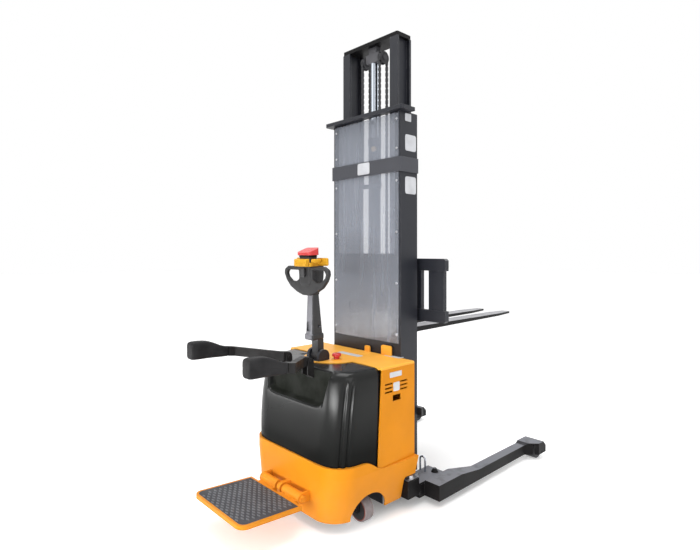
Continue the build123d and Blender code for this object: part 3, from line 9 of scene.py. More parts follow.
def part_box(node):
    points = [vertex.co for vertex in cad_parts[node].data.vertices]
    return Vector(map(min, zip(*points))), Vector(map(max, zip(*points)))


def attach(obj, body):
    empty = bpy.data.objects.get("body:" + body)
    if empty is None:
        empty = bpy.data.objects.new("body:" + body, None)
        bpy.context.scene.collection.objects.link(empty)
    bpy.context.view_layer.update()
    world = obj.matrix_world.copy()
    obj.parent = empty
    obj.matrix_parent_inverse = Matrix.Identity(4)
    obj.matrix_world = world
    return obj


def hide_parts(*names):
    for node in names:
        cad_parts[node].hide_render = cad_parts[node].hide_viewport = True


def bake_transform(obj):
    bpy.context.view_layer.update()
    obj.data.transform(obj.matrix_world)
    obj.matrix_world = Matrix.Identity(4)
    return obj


# Electric stacker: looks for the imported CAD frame. Metres, +Z up, forks towards +Y.

SIDES = ("right", "left")

# Camera of the photograph, 700 by 550 pixels
CAMERA_AT = (2.049, -2.244, 1.314)
CAMERA_TURN = 46.9
CAMERA_LENS = 25.97
CAMERA_SENSOR = 36
CAMERA_SHIFT_Y = -0.0343

# Lamps: place, aim, width and height, watts, spread in degrees
LAMPS = {
    "key": ((0.75, -3.45, 0.6), (0.25, -0.7, 0.5), (2.2, 0.42), 9, 60),
    "low": ((-1.7, -2.9, 0.4), (0.1, -0.7, 0.45), (2.0, 0.4), 2.5, 60),
    "rear": ((-1.6, -3.8, 3.4), (0, -0.3, 1.0), (2.2, 2.2), 20, 180),
    "top": ((0.3, -0.7, 5.0), (0.1, -0.3, 0.7), (3.0, 3.0), 165, 180),
    "side": ((3.6, -1.2, 2.4), (0, 0, 0.9), (2.4, 2.4), 32, 180),
    "back": ((0.5, 3.8, 3.6), (0, 0, 1.2), (2.4, 2.4), 40, 180),
}

# Sky and floor: strength as light and as seen; the floor's own glow grows between two distances
WHITE = (1, 1, 1, 1)
SKY_LIGHT = 0.55
SKY_SEEN = 1.0
FLOOR_SIZE = 60
FLOOR_Z = -0.0005
FLOOR_TONE = (0.9, 0.9, 0.9)
FLOOR_MOTTLE = ((0.89, 0.89, 0.89), (0.91, 0.91, 0.91))
FLOOR_GLOW = 0.5
FLOOR_LIT_R = (0.0, 1.2)

# Paints, plastics and metals, as linear colours
YELLOW = (0.735, 0.262, 0.008)
# Lighter copy of the yellow paint for the top cover: a painted sheen of the light from above
LIT_TOP_YELLOW = (0.95, 0.45, 0.055)
HEAD_YELLOW = (0.74, 0.375, 0.018)
BLACK_PAINT = (0.018, 0.0195, 0.026)
# Lighter copy of the black paint for the mast band: a painted highlight where its rear face catches the light
LIT_BAND_BLACK = (0.062, 0.064, 0.076)
LEG_BLACK = (0.006, 0.0055, 0.006)
# Tones that the tops of legs and forks lighten to: dust, and a painted sheen of the light from above
LEG_DUST_AND_SHEEN = (0.185, 0.19, 0.212)
FORK_DUST_AND_SHEEN = (0.33, 0.33, 0.35)
HOOD_BLACK = (0.011, 0.0115, 0.011)
SUNK_BLACK = (0.012, 0.0135, 0.0105)
PLASTIC_BLACK = (0.024, 0.024, 0.026)
HUB_BLACK = (0.007, 0.007, 0.008)
HEAD_BLACK = (0.0165, 0.016, 0.017)
CAST_GREY = (0.2, 0.198, 0.22)
# Share that darkens the grey casting for the crosshead: painted shade, as it sits in the shadow under the
# mast's top plate
CROSSHEAD_SHADE_SHARE = 0.42
IRON_GREY = (0.06, 0.06, 0.065)
RUBBER_BLACK = (0.0105, 0.01, 0.011)
ARM_BLACK = (0.011, 0.0102, 0.0102)
MAT_GREY = (0.06, 0.062, 0.071)
STUD_GREY = (0.112, 0.115, 0.125)
TREAD_GREY = (0.24, 0.205, 0.205)
CORE_RED = (0.2, 0.045, 0.03)
SIGNAL_RED = (0.66, 0.035, 0.035)
STEEL = (0.5, 0.5, 0.52)
ROD_STEEL = (0.5, 0.54, 0.6)
CHAIN_STEEL = (0.11, 0.11, 0.115)
BRASS = (0.72, 0.48, 0.18)
PLATE_PALE = (0.66, 0.67, 0.7)
GUARD_TINT = (0.39, 0.42, 0.49)
GUARD_ALPHA = 0.45
GUARD_IOR = 1.49

# Ranges that the materials share: noise values, the mask along edges, where dust lies, and tops given dust
# and a painted sheen
NOISE_SPAN = (0.3, 0.7)
MOTTLE_SPAN = (0.35, 0.65)
EDGE_SPAN = (0.97, 0.8)
DUST_Z = (0.02, 0.3)
DUST_AND_SHEEN_UP = (0.8, 1.0)

# Wheels: outer radius and colour of each ring inside the tread, from the hub outwards
CASTER_RINGS = ((0.01, STEEL), (0.048, HUB_BLACK), (0.053, CORE_RED))
LOAD_WHEEL_RINGS = ((0.02, STEEL),)
DRIVE_WHEEL_RINGS = ((0.03, STEEL), (0.075, IRON_GREY))
RING_BLUR = 0.0006

# Tiller casting: height of its dark foot, and how far sideways a face looks where it turns dark
TILLER_COLLAR_Z = 0.85
COLLAR_BLUR = 0.002
CASTING_SIDE_SPAN = (0.45, 0.7)

# Hood paint: two heights between which its reflections grow, and their strength there
HOOD_DULL_Z = (0.36, 0.6)
HOOD_GLOSS = (0.02, 0.22)

# Form of the moulded hood: a pair is the value at the foot and at the top, or for the ledge at the sides
# and at the rear. Flutes are in degrees round the rear corner
HOOD_Z = (0.252, 0.742)
HOOD_REAR_Y = (-0.73, -0.69)
HOOD_REAR_HALF = (0.333, 0.322)
HOOD_FRONT_HALF = (0.369, 0.365)
HOOD_FRONT_Y = -0.4
HOOD_CORNER = 0.115
HOOD_BULGE = 0.018
HOOD_EDGE_R = 0.03
HOOD_WALL = 0.003
SEAM_Z = (0.262, 0.746)
SEAM_Y = (-0.489, -0.461)
LEDGE_Z = (0.2625, 0.3125)
LEDGE_BEND_Y = (-0.44, -0.58)
LEDGE_HALVINGS = 24
ISLAND_Y = -0.45
ISLAND_R = 0.161
ISLAND_TURN = 86
SUNK_Y = -0.676
SUNK_EDGE_R = 0.01
SUNK_LIP_Z = 0.573
SUNK_FOOT_Z = 0.58
SUNK_HALF = (0.157, 0.25)
SUNK_CORNER = 0.04
FLUTES = ((48, 57), (66, 75))
FLUTE_HALF = 5.5
FLUTE_DEPTH = 0.011
FLUTE_FADE_Z = (0.675, 0.712)

# Net of the hood: columns inside and outside the sunk panel's edge, round the corner, across each flute
# and along the side, and rows up the wall, up the panel, over the edge and along the top
SUNK_SHARES = (0, 0.3, 0.6, 0.8)
SUNK_INSETS = (0.018, 0.011, 0.006, 0.003)
SUNK_OUTSETS = (0.004, 0.011)
REAR_COLUMN = (0.225, 0.274)
CORNER_COLUMN = (27, 34)
FLUTE_PROFILE = ((-1, 0), (-0.5, 0.7), (0, 1), (0.5, 0.7), (1, 0))
SIDE_SHARES = (0.02, 0.3, 0.65, 1)
WALL_SHARES = (0, 0.03, 0.2, 0.42, 0.65, 0.85, 0.96, 1)
PANEL_Z = (SUNK_FOOT_Z, 0.588, 0.61, 0.65, 0.685, HOOD_Z[1] - HOOD_EDGE_R)
EDGE_TURNS = (30, 60, 90)
TOP_SHARES = (0.12, 0.5, 0.94, 1)
SUNK_ROWS = range(7, 14)

# Arm pads: half width and half height at the neck and the end; share of the length, swell and size of each
# station; degrees round a pad, every 8 and closer beside the two seams
PAD_NECK = (0.022, 0.025)
PAD_END = (0.0325, 0.0445)
PAD_STATIONS = ((0.0, 0.0, 0.94), (0.03, 0.02, 1.0), (0.14, 0.12, 1.0), (0.3, 0.45, 1.0),
                (0.46, 0.8, 1.0), (0.62, 0.96, 1.0), (0.86, 1.0, 1.0), (0.93, 1.0, 0.98),
                (0.975, 1.0, 0.93), (1.0, 1.0, 0.82))
PAD_SEAMS = (-180, 0)
PAD_ANGLES = sorted(set(range(-180, 180, 8)) - {-4, 4} | {-178, -2, 0, 2, 178})
PAD_SQUARENESS = 4.5
PAD_GROOVE = 0.0009
PAD_GROOVE_RUN = (0.1, 0.97)
PAD_CROWN = 0.0016
PAD_CREASE = 60

# Leaf chains: plates are (radius, thickness), with their places across wide and narrow links
CHAIN_PITCH = 0.0159
CHAIN_PLATE = (0.0058, 0.0022)
CHAIN_PLATE_STEPS = 4
CHAIN_WIDE_X = (-0.0068, -0.0011, 0.0046)
CHAIN_NARROW_X = (-0.004, 0.0018)
CHAIN_PIN_R = 0.0026
CHAIN_PIN_LONG = 0.0156
CHAIN_PIN_SIDES = 8
CHAIN_WRAP_R = 0.03
CHAIN_WRAP_LINKS = 6

# Tread mat: studs are (half length, half width, height), and smaller at their tops
MAT_CORNER = 0.03
MAT_CORNER_STEPS = 6
MAT_END = 0.02
STUD = (0.0145, 0.0066, 0.0018)
STUD_PITCH = (0.042, 0.028)
STUD_SINK = 0.0002
STUD_TOP = 0.62

# Bleed fitting: (radius, length); its hexagon and nose are (share of radius, sides, start and depth as
# shares of length)
BLEED_AT = (0.02, -0.157, 1.9)
BLEED_TURN = 35
BLEED_SIZE = (0.016, 0.024)
BLEED_HEXAGON = (1.0, 6, 0.0, 0.55)
BLEED_NOSE = (0.55, 16, 0.55, 0.45)

# Steps round each corner of a rounded outline, and the tiller's lean at rest in degrees
CORNER_STEPS = 4
TILLER_LEAN = 2.0

# Gaiter under the safety button: foot, (width, depth, height), and folds as (share of the height, size)
GAITER_AT = (0.0, -0.6225, 1.2842)
GAITER_SIZE = (0.098, 0.06, 0.008)
GAITER_CORNER = 0.014
GAITER_FOLDS = ((0.04, 1.0), (0.25, 0.93), (0.5, 1.0), (0.75, 0.93), (0.96, 1.0))

# Thumb paddles: (length, depth, height), and sections along one as (share of the length, size)
PADDLE_X = 0.0565
PADDLE_SIZE = (0.031, 0.044, 0.019)
PADDLE_CORNER = 0.007
PADDLE_ROOT = ((0.0, 0.78), (0.06, 1.0))
PADDLE_GROOVES = (0.36, 0.56, 0.76)
PADDLE_GROOVE_HALF = 0.06
PADDLE_GROOVE_SIZE = 0.94
PADDLE_TIP = ((0.94, 0.96), (1.0, 0.74))
SHAFT_R = 0.0058
SHAFT_START = 0.76
SHAFT_SINK = 0.002

# Trim of the tiller head, upright about the tiller's pivot: the visor's outline in Y and Z and its ends as
# (share of the half width, size), the cap's rim as (depth, inset), and the nose's rings as
# (height, half width, front)
HEAD_CORNER = 0.012
VISOR_HALF = 0.048
VISOR_SIDE = ((-0.0853, 0.469), (-0.1, 0.47), (-0.1045, 0.473), (-0.106, 0.479), (-0.104, 0.498),
              (-0.1015, 0.504), (-0.096, 0.507), (-0.0775, 0.509), (-0.0775, 0.4903), (-0.0853, 0.4903))
VISOR_ENDS = ((-1.0, 0.86), (-0.96, 0.97), (-0.88, 1.0), (0.88, 1.0), (0.96, 0.97), (1.0, 0.86))
CAP_WIDE = 0.088
CAP_Y = (-0.0105, 0.0265)
CAP_Z = (0.4703, 0.488)
CAP_RIM = ((0.004, 0.0), (0.001, 0.0015), (0.0, 0.004))
NOSE_BACK_Y = -0.03
NOSE_RINGS = ((0.326, 0.0235, 0.0055), (0.345, 0.029, 0.011), (0.372, 0.036, 0.018),
              (0.402, 0.0405, 0.0235), (0.436, 0.042, 0.026), (0.464, 0.042, 0.026),
              (0.468, 0.041, 0.025), (0.4695, 0.0385, 0.0225))

# Height of the top cover, and the stop button on it: radius and height above the cover of each turned ring
COVER_TOP_Z = 0.746
STOP_SIDES = 40
STOP_RINGS = ((0.0138, 0.0095), (0.0158, 0.011), (0.0158, 0.0165), (0.0215, 0.0175),
              (0.0236, 0.019), (0.024, 0.0215), (0.024, 0.027), (0.0229, 0.0305),
              (0.0195, 0.033), (0.012, 0.0338), (0.003, 0.034))

# Wheel houses, black sheets that also stand in for the shade inside the arches: plan of the right-hand bent
# sheet
HOUSE_AND_SHADE_PLAN = ((0.328, -0.414), (0.328, -0.411), (0.154, -0.411), (0.148, -0.417),
              (0.148, -0.61), (0.151, -0.61), (0.151, -0.418), (0.155, -0.414))
HOUSE_AND_SHADE_Z = (0.058, 0.246)

# Blank plates: name, place on their surface and size
PLATE_THICK = 0.0012
PLATE_CORNER_SHARE = 0.14
MAST_PLATES = (("upper", -0.1275, 1.9, (0.09, 0.088)), ("lower", -0.1275, 1.67, (0.09, 0.094)),
               ("small", -0.1485, 2.036, (0.05, 0.042)))
BODY_PLATES = (("name", -0.361, 0.702, (0.088, 0.026)), ("round", -0.356, 0.64, (0.046, 0.044)))
COVER_PLATES = (("middle", 0.018, -0.345, (0.17, 0.042)), ("side", 0.225, -0.213, (0.108, 0.042)))
BAND_PLATE = (-0.002, 1.782, (0.096, 0.066))

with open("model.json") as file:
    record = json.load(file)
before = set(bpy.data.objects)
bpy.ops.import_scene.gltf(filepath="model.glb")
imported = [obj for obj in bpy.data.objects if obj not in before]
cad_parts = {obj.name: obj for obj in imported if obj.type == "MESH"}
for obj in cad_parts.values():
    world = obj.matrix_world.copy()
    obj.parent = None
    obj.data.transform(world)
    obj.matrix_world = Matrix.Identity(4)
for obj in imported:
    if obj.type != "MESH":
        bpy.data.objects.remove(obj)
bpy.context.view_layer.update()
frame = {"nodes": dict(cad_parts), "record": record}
nodes = frame["nodes"]
joints = {joint["name"]: joint for joint in frame["record"]["behaviour"]["joints"]}


class Shader:
    """A Principled material whose inputs can be driven by noise in the piece's own space."""

    def __init__(self, name, colour, rough, metallic=0.0):
        self.material = bpy.data.materials.new(name)
        self.material.use_nodes = True
        self.tree = self.material.node_tree
        self.surface = self.tree.nodes["Principled BSDF"]
        self.surface.inputs["Base Color"].default_value = (*colour, 1)
        self.surface.inputs["Roughness"].default_value = rough
        self.surface.inputs["Metallic"].default_value = metallic
        self.place = self.add("ShaderNodeTexCoord").outputs["Object"]
        self.rough = rough
        self.soft_edge = None

    def add(self, kind, **settings):
        made = self.tree.nodes.new(kind)
        for key, value in settings.items():
            setattr(made, key, value)
        return made

    def link(self, source, target):
        self.tree.links.new(source, target)

    def set(self, **values):
        """Sets inputs of the surface, with _ for a space in their names."""
        for key, value in values.items():
            self.surface.inputs[key.replace("_", " ")].default_value = value
        return self

    def noise(self, scale, detail=3.0, stretch=None):
        """Noise between about 0.3 and 0.7, stretched along the axes where that is asked for."""
        spot = self.place
        if stretch:
            mapping = self.add("ShaderNodeMapping")
            mapping.inputs["Scale"].default_value = stretch
            self.link(self.place, mapping.inputs["Vector"])
            spot = mapping.outputs["Vector"]
        texture = self.add("ShaderNodeTexNoise")
        texture.inputs["Scale"].default_value = scale
        texture.inputs["Detail"].default_value = detail
        self.link(spot, texture.inputs["Vector"])
        return texture.outputs["Fac"]

    def span(self, value, low, high, to_low=0.0, to_high=1.0):
        """Maps a value from one range to another, clamped."""
        ranged = self.add("ShaderNodeMapRange")
        ranged.inputs["From Min"].default_value = low
        ranged.inputs["From Max"].default_value = high
        ranged.inputs["To Min"].default_value = to_low
        ranged.inputs["To Max"].default_value = to_high
        self.link(value, ranged.inputs["Value"])
        return ranged.outputs["Result"]

    def mix(self, factor, first, second):
        """Mixes two colours; each is a plain colour or a socket."""
        mixed = self.add("ShaderNodeMix", data_type="RGBA")
        self.link(factor, mixed.inputs["Factor"])
        for key, value in (("A", first), ("B", second)):
            target = next(s for s in mixed.inputs if s.name == key and s.type == "RGBA")
            if isinstance(value, tuple):
                target.default_value = (*value, 1)
            else:
                self.link(value, target)
        return next(s for s in mixed.outputs if s.type == "RGBA")

    def math(self, operation, first, second=0.0):
        """Sums on values; each is a plain number or a socket."""
        worked = self.add("ShaderNodeMath", operation=operation)
        for index, value in enumerate((first, second)):
            if isinstance(value, float):
                worked.inputs[index].default_value = value
            else:
                self.link(value, worked.inputs[index])
        return worked.outputs["Value"]

    def split(self, vector):
        """The three coordinates of a vector."""
        parted = self.add("ShaderNodeSeparateXYZ")
        self.link(vector, parted.inputs["Vector"])
        return parted.outputs

    def edges(self, radius):
        """Rounds the shading of sharp edges, and gives a mask that is 1 along them."""
        bevel = self.add("ShaderNodeBevel", samples=4)
        bevel.inputs["Radius"].default_value = radius
        self.soft_edge = bevel.outputs["Normal"]
        alike = self.add("ShaderNodeVectorMath", operation="DOT_PRODUCT")
        self.link(self.soft_edge, alike.inputs[0])
        self.link(self.add("ShaderNodeNewGeometry").outputs["Normal"], alike.inputs[1])
        return self.span(alike.outputs["Value"], *EDGE_SPAN)

    def facing_up(self, low, high):
        """Mask of surfaces that face the ceiling, where dust settles and a painted sheen of the light from
        above lies.
        """
        normal = self.add("ShaderNodeNewGeometry").outputs["Normal"]
        return self.span(self.split(normal)["Z"], low, high)

    def paint(self, socket):
        self.link(socket, self.surface.inputs["Base Color"])
        return self

    def gloss(self, level):
        """Strength of the reflections, even all over."""
        return self.set(Specular_IOR_Level=level)

    def gloss_by_height(self, low_z, high_z, low, high):
        """Reflections that fade from a height down to a lower one."""
        height = self.split(self.place)["Z"]
        level = self.span(height, low_z, high_z, low, high)
        self.link(level, self.surface.inputs["Specular IOR Level"])
        return self

    def vary_rough(self, scale, spread, stretch=None):
        patches = self.noise(scale, detail=4.0, stretch=stretch)
        amount = self.span(patches, *NOISE_SPAN, self.rough - spread, self.rough + spread)
        self.link(amount, self.surface.inputs["Roughness"])
        return self

    def bump(self, height, strength, distance):
        bumped = self.add("ShaderNodeBump")
        bumped.inputs["Strength"].default_value = strength
        bumped.inputs["Distance"].default_value = distance
        self.link(height, bumped.inputs["Height"])
        if self.soft_edge:
            self.link(self.soft_edge, bumped.inputs["Normal"])
        self.link(bumped.outputs["Normal"], self.surface.inputs["Normal"])
        return self


def darker(colour, share):
    return tuple(channel * share for channel in colour)


def lighter(colour, share):
    return tuple(channel + (1 - channel) * share for channel in colour)


def coat(name, colour, rough, peel=0.08, dust=0.25, wear=0.5, spread=0.07, dust_and_sheen_up=0.12, tone=None):
    """Sprayed paint: mottling, orange peel, rubbed edges, dust low on the machine, and dust with a painted
    sheen on top.
    """
    shader = Shader(name, colour, rough)
    mottle = shader.span(shader.noise(scale=5.0), *MOTTLE_SPAN)
    mottled = shader.mix(mottle, darker(colour, share=0.9), colour)
    low = shader.span(shader.split(shader.place)["Z"], *DUST_Z, to_low=dust, to_high=0.0)
    # Upward faces lighten: partly settled dust, partly a painted sheen of the light from above
    sheen_and_dust_on_top = shader.math("MULTIPLY", shader.facing_up(*DUST_AND_SHEEN_UP), dust_and_sheen_up)
    patches = shader.noise(scale=18.0, detail=5.0)
    dust_and_sheen_mask = shader.math("MULTIPLY", shader.math("MAXIMUM", low, sheen_and_dust_on_top), patches)
    dusted_and_lit = shader.mix(dust_and_sheen_mask, mottled, tone or darker(lighter(colour, share=0.2), share=0.85))
    chips = shader.span(shader.noise(scale=30.0, detail=5.0), low=0.42, high=0.6, to_high=wear)
    rubbed = shader.math("MULTIPLY", shader.edges(radius=0.0025), chips)
    shader.paint(shader.mix(rubbed, dusted_and_lit, lighter(colour, share=0.25)))
    shader.vary_rough(scale=9.0, spread=spread)
    return shader.bump(shader.noise(scale=420.0, detail=2.0), strength=peel, distance=0.0006)


def moulded(name, colour, rough, grain=0.15, scale=900.0):
    """Moulded plastic or rubber with a fine grain and slightly rubbed edges."""
    shader = Shader(name, colour, rough)
    mottle = shader.span(shader.noise(scale=14.0), *MOTTLE_SPAN)
    mottled = shader.mix(mottle, darker(colour, share=0.85), lighter(colour, share=0.01))
    chips = shader.span(shader.noise(scale=40.0, detail=4.0), low=0.4, high=0.65, to_high=0.4)
    rubbed = shader.math("MULTIPLY", shader.edges(radius=0.002), chips)
    shader.paint(shader.mix(rubbed, mottled, lighter(colour, share=0.08)))
    shader.vary_rough(scale=20.0, spread=0.06)
    return shader.bump(shader.noise(scale, detail=2.0), strength=grain, distance=0.0005)


def metal(name, colour, rough, stretch=(60, 60, 2)):
    """Bare or plated steel with a lay left by the tool."""
    shader = Shader(name, colour, rough, metallic=1.0)
    shader.edges(radius=0.001)
    shader.paint(shader.mix(shader.noise(scale=8.0, detail=4.0), darker(colour, share=0.82), colour))
    shader.vary_rough(scale=6.0, spread=0.08, stretch=stretch)
    return shader.bump(shader.noise(scale=12.0, stretch=stretch), strength=0.05, distance=0.0003)


def wheel_rings(name, centre, across, rings, tread, rough):
    """Wheel coloured in rings about its axle, inside its tread; across names the two axes of its face."""
    shader = Shader(name, tread, rough)
    parts = shader.split(shader.place)
    squares = []
    for key in across:
        offset = shader.math("SUBTRACT", parts[key], float(getattr(centre, key.lower())))
        squares.append(shader.math("MULTIPLY", offset, offset))
    radius = shader.math("SQRT", shader.math("ADD", *squares))
    mottle = shader.span(shader.noise(scale=40.0), *NOISE_SPAN)
    colour = shader.mix(mottle, darker(tread, share=0.75), tread)
    for outer, tone in reversed(rings):
        inside = shader.span(radius, outer - RING_BLUR, outer + RING_BLUR, to_low=1.0, to_high=0.0)
        colour = shader.mix(inside, colour, tone)
    shader.paint(colour)
    shader.vary_rough(scale=30.0, spread=0.08)
    return shader.bump(shader.noise(scale=300.0), strength=0.2, distance=0.0008)


def two_tone(name, colour, dark, rough, low_z):
    """Casting with its rear and front faces in one tone, its sides and its foot below a height in another."""
    shader = Shader(name, colour, rough)
    shader.edges(radius=0.002)
    normal = shader.add("ShaderNodeTexCoord").outputs["Normal"]
    sideways = shader.math("ABSOLUTE", shader.split(normal)["X"])
    height = shader.split(shader.place)["Z"]
    foot = shader.span(height, low_z - COLLAR_BLUR, low_z + COLLAR_BLUR, to_low=1.0, to_high=0.0)
    mask = shader.math("MAXIMUM", shader.span(sideways, *CASTING_SIDE_SPAN), foot)
    mottle = shader.span(shader.noise(scale=14.0), *MOTTLE_SPAN)
    shader.paint(shader.mix(mask, shader.mix(mottle, darker(colour, share=0.85), colour), dark))
    shader.vary_rough(scale=20.0, spread=0.06)
    return shader.bump(shader.noise(scale=500.0, detail=2.0), strength=0.25, distance=0.0005)


def guard_sheet():
    """Clear plastic gone hazy, with faint upright streaks and rubbed patches."""
    shader = Shader("guard_sheet", GUARD_TINT, rough=0.2)
    streaks = shader.span(shader.noise(scale=5.0, stretch=(5, 1, 0.3)), *MOTTLE_SPAN)
    shader.paint(shader.mix(streaks, darker(GUARD_TINT, share=0.94), lighter(GUARD_TINT, share=0.04)))
    shader.set(Alpha=GUARD_ALPHA, IOR=GUARD_IOR)
    shader.vary_rough(scale=5.0, spread=0.08, stretch=(3, 1, 0.5))
    return shader.bump(shader.noise(scale=30.0, detail=2.0), strength=0.04, distance=0.001)


# Materials
yellow = coat("yellow_paint", YELLOW, rough=0.4, wear=0.2)
yellow.gloss(0.08).set(Coat_Weight=0.05, Coat_Roughness=0.12)
# Top cover: the yellow paint lightened, a painted sheen of the light from above
lit_top_yellow = coat("lit_top_yellow", LIT_TOP_YELLOW, rough=0.4, wear=0.2).gloss(0.2)
yellow_plastic = moulded("yellow_plastic", HEAD_YELLOW, rough=0.4, grain=0.08).gloss(0.15)
# Black paints: upward faces strongly lightened by dust and a painted sheen of the light from above
black = coat("black_paint", BLACK_PAINT, rough=0.4, peel=0.12, dust=0.06, dust_and_sheen_up=1.0).gloss(0.34)
# Mast band: the black paint lightened, a painted highlight where its rear face catches the light
lit_band_black = coat("lit_band_black", LIT_BAND_BLACK, rough=0.4, peel=0.12, dust=0.06, dust_and_sheen_up=1.0).gloss(0.34)
leg_black = coat("leg_black", LEG_BLACK, rough=0.45, peel=0.12, dust=0.01, dust_and_sheen_up=2.0, tone=LEG_DUST_AND_SHEEN)
leg_black.gloss(0.12)
fork_black = coat("fork_black", LEG_BLACK, rough=0.42, peel=0.12, dust=0.0, dust_and_sheen_up=2.0, tone=FORK_DUST_AND_SHEEN)
fork_black.gloss(0.15)
hood = coat("hood_black", HOOD_BLACK, rough=0.22, peel=0.02, dust=0.0, wear=0.0, spread=0.03)
hood.gloss_by_height(*HOOD_DULL_Z, *HOOD_GLOSS)
sunk_black = moulded("sunk_black", SUNK_BLACK, rough=0.75, grain=0.3, scale=500.0).gloss(0.06)
plastic = moulded("black_plastic", PLASTIC_BLACK, rough=0.46, grain=0.2)
head_plastic = moulded("head_plastic", HEAD_BLACK, rough=0.5, grain=0.25).gloss(0.35)
casting = moulded("grey_casting", CAST_GREY, rough=0.45, grain=0.25, scale=500.0)
# Crosshead: the grey casting darkened, painted shade under the mast's top plate
shaded_casting = moulded("shaded_casting", darker(CAST_GREY, CROSSHEAD_SHADE_SHARE), rough=0.5, grain=0.25, scale=500.0)
tiller_casting = two_tone("tiller_casting", CAST_GREY, PLASTIC_BLACK, rough=0.45, low_z=TILLER_COLLAR_Z)
iron = moulded("iron_casting", IRON_GREY, rough=0.65, grain=0.4, scale=300.0)
rubber = moulded("rubber", RUBBER_BLACK, rough=0.6, grain=0.25, scale=700.0).gloss(0.18)
arm_black = moulded("arm_black", ARM_BLACK, rough=0.45, grain=0.12, scale=500.0).gloss(0.18)
mat_rubber = moulded("mat_rubber", MAT_GREY, rough=0.7, grain=0.3, scale=600.0).gloss(0.3)
stud_rubber = moulded("stud_rubber", STUD_GREY, rough=0.55, grain=0.3, scale=600.0)
red = moulded("red_plastic", SIGNAL_RED, rough=0.3, grain=0.05)
steel = metal("bright_steel", STEEL, rough=0.36)
chrome = metal("chrome", ROD_STEEL, rough=0.16, stretch=(2, 2, 60))
chain_steel = metal("chain_steel", CHAIN_STEEL, rough=0.42, stretch=(30, 30, 30))
brass = metal("brass", BRASS, rough=0.3, stretch=(20, 20, 20))
pale = moulded("pale_plate", PLATE_PALE, rough=0.4, grain=0.05)
guard = guard_sheet()

# Looks of the CAD nodes: by their slot in the record, or by name for single nodes and for pairs
BY_SLOT = {
    "yellow_paint": yellow, "yellow_plastic": yellow_plastic, "black_paint": black, "hood_black": hood,
    "guard_sheet": guard, "bright_steel": steel, "chrome": chrome, "black_plastic": plastic,
    "red_plastic": red, "grey_casting": casting, "iron_casting": iron, "rubber": rubber,
    "wheel_tread": rubber,
}
BY_NODE = {
    "body_top_cover": lit_top_yellow, "mast_band": lit_band_black, "lift_crosshead": shaded_casting,
    "tiller_head": head_plastic, "tiller_arm": tiller_casting, "base_sleeve": leg_black,
    "mast_feet": leg_black, "inner_mast_beams": leg_black, "arm_brackets": arm_black,
}
BY_PAIR = {
    "leg": leg_black, "caster_fork": leg_black, "fork": fork_black, "arm": arm_black, "chain_pulley": iron,
}


def give(node, shader):
    """Puts one material on a CAD node."""
    mesh = nodes[node].data
    mesh.materials.clear()
    mesh.materials.append(shader.material)


def middle(node):
    """Centre of a node's box at rest."""
    low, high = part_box(node)
    return (low + high) / 2


def dress_wheel(node, name, across, rings, tread, rough):
    give(node, wheel_rings(name, middle(node), across, rings, tread, rough))


def dress_cad():
    """Materials of the CAD nodes that stay in view."""
    for part in frame["record"]["subparts"]:
        give(part["node"], BY_SLOT[part["material_slot"]])
    for node, shader in BY_NODE.items():
        give(node, shader)
    for side in SIDES:
        for pair, shader in BY_PAIR.items():
            give(f"{pair}_{side}", shader)
        caster, load_wheel = f"caster_wheel_{side}", f"load_wheel_{side}"
        dress_wheel(caster, caster, "XZ", CASTER_RINGS, TREAD_GREY, rough=0.6)
        dress_wheel(load_wheel, load_wheel, "YZ", LOAD_WHEEL_RINGS, PLASTIC_BLACK, rough=0.5)
    dress_wheel("drive_wheel", "drive_tread", "YZ", DRIVE_WHEEL_RINGS, CORE_RED, rough=0.55)


def mesh_piece(name, build, shader, body=None):
    """Makes a piece from a bmesh and, where a body is named, lets it ride on that body."""
    work = bmesh.new()
    build(work)
    bmesh.ops.recalc_face_normals(work, faces=work.faces)
    mesh = bpy.data.meshes.new(name)
    work.to_mesh(mesh)
    work.free()
    piece = bpy.data.objects.new(name, mesh)
    bpy.context.collection.objects.link(piece)
    mesh.materials.append(shader.material)
    if body:
        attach(piece, body)
    return piece


def smooth(piece, angle=40):
    """Smooth shading with edges sharper than an angle kept crisp."""
    mesh = piece.data
    mesh.shade_smooth()
    mesh.set_sharp_from_angle(angle=math.radians(angle))


def soften(piece, levels):
    """Turns a piece into a subdivision surface."""
    surface = piece.modifiers.new("soften", "SUBSURF")
    surface.levels = levels
    surface.render_levels = levels
    return surface


def skin(work, rings):
    """Joins rings of points into a tube of quads, with its two ends closed."""
    loops = [[work.verts.new(point) for point in ring] for ring in rings]
    count = len(loops[0])
    for first, second in zip(loops, loops[1:]):
        for index in range(count):
            after = (index + 1) % count
            work.faces.new((first[index], first[after], second[after], second[index]))
    work.faces.new(loops[0][::-1])
    work.faces.new(loops[-1])


def prism(work, outline, depth, place):
    """Closed prism: an outline in its own XY plane, carried along Z, then put in its place."""
    skin(work, [[place @ Vector((x, y, z)) for x, y in outline] for z in (0, depth)])


def circle(radius, sides=24):
    """Outline of a circle."""
    turns = [math.tau * step / sides for step in range(sides)]
    return [(radius * math.cos(turn), radius * math.sin(turn)) for turn in turns]


def rounded_box(wide, deep, corner):
    """Outline of a rectangle with rounded corners."""
    outline = []
    for x, y, turn in ((1, 1, 0.0), (-1, 1, 0.5), (-1, -1, 1.0), (1, -1, 1.5)):
        for step in range(CORNER_STEPS):
            angle = math.pi * (turn + step / (2 * (CORNER_STEPS - 1)))
            outline.append((x * (wide / 2 - corner) + corner * math.cos(angle),
                            y * (deep / 2 - corner) + corner * math.sin(angle)))
    return outline


def between(pair, share):
    return pair[0] + (pair[1] - pair[0]) * share


def share_of(pair, value):
    return (value - pair[0]) / (pair[1] - pair[0])


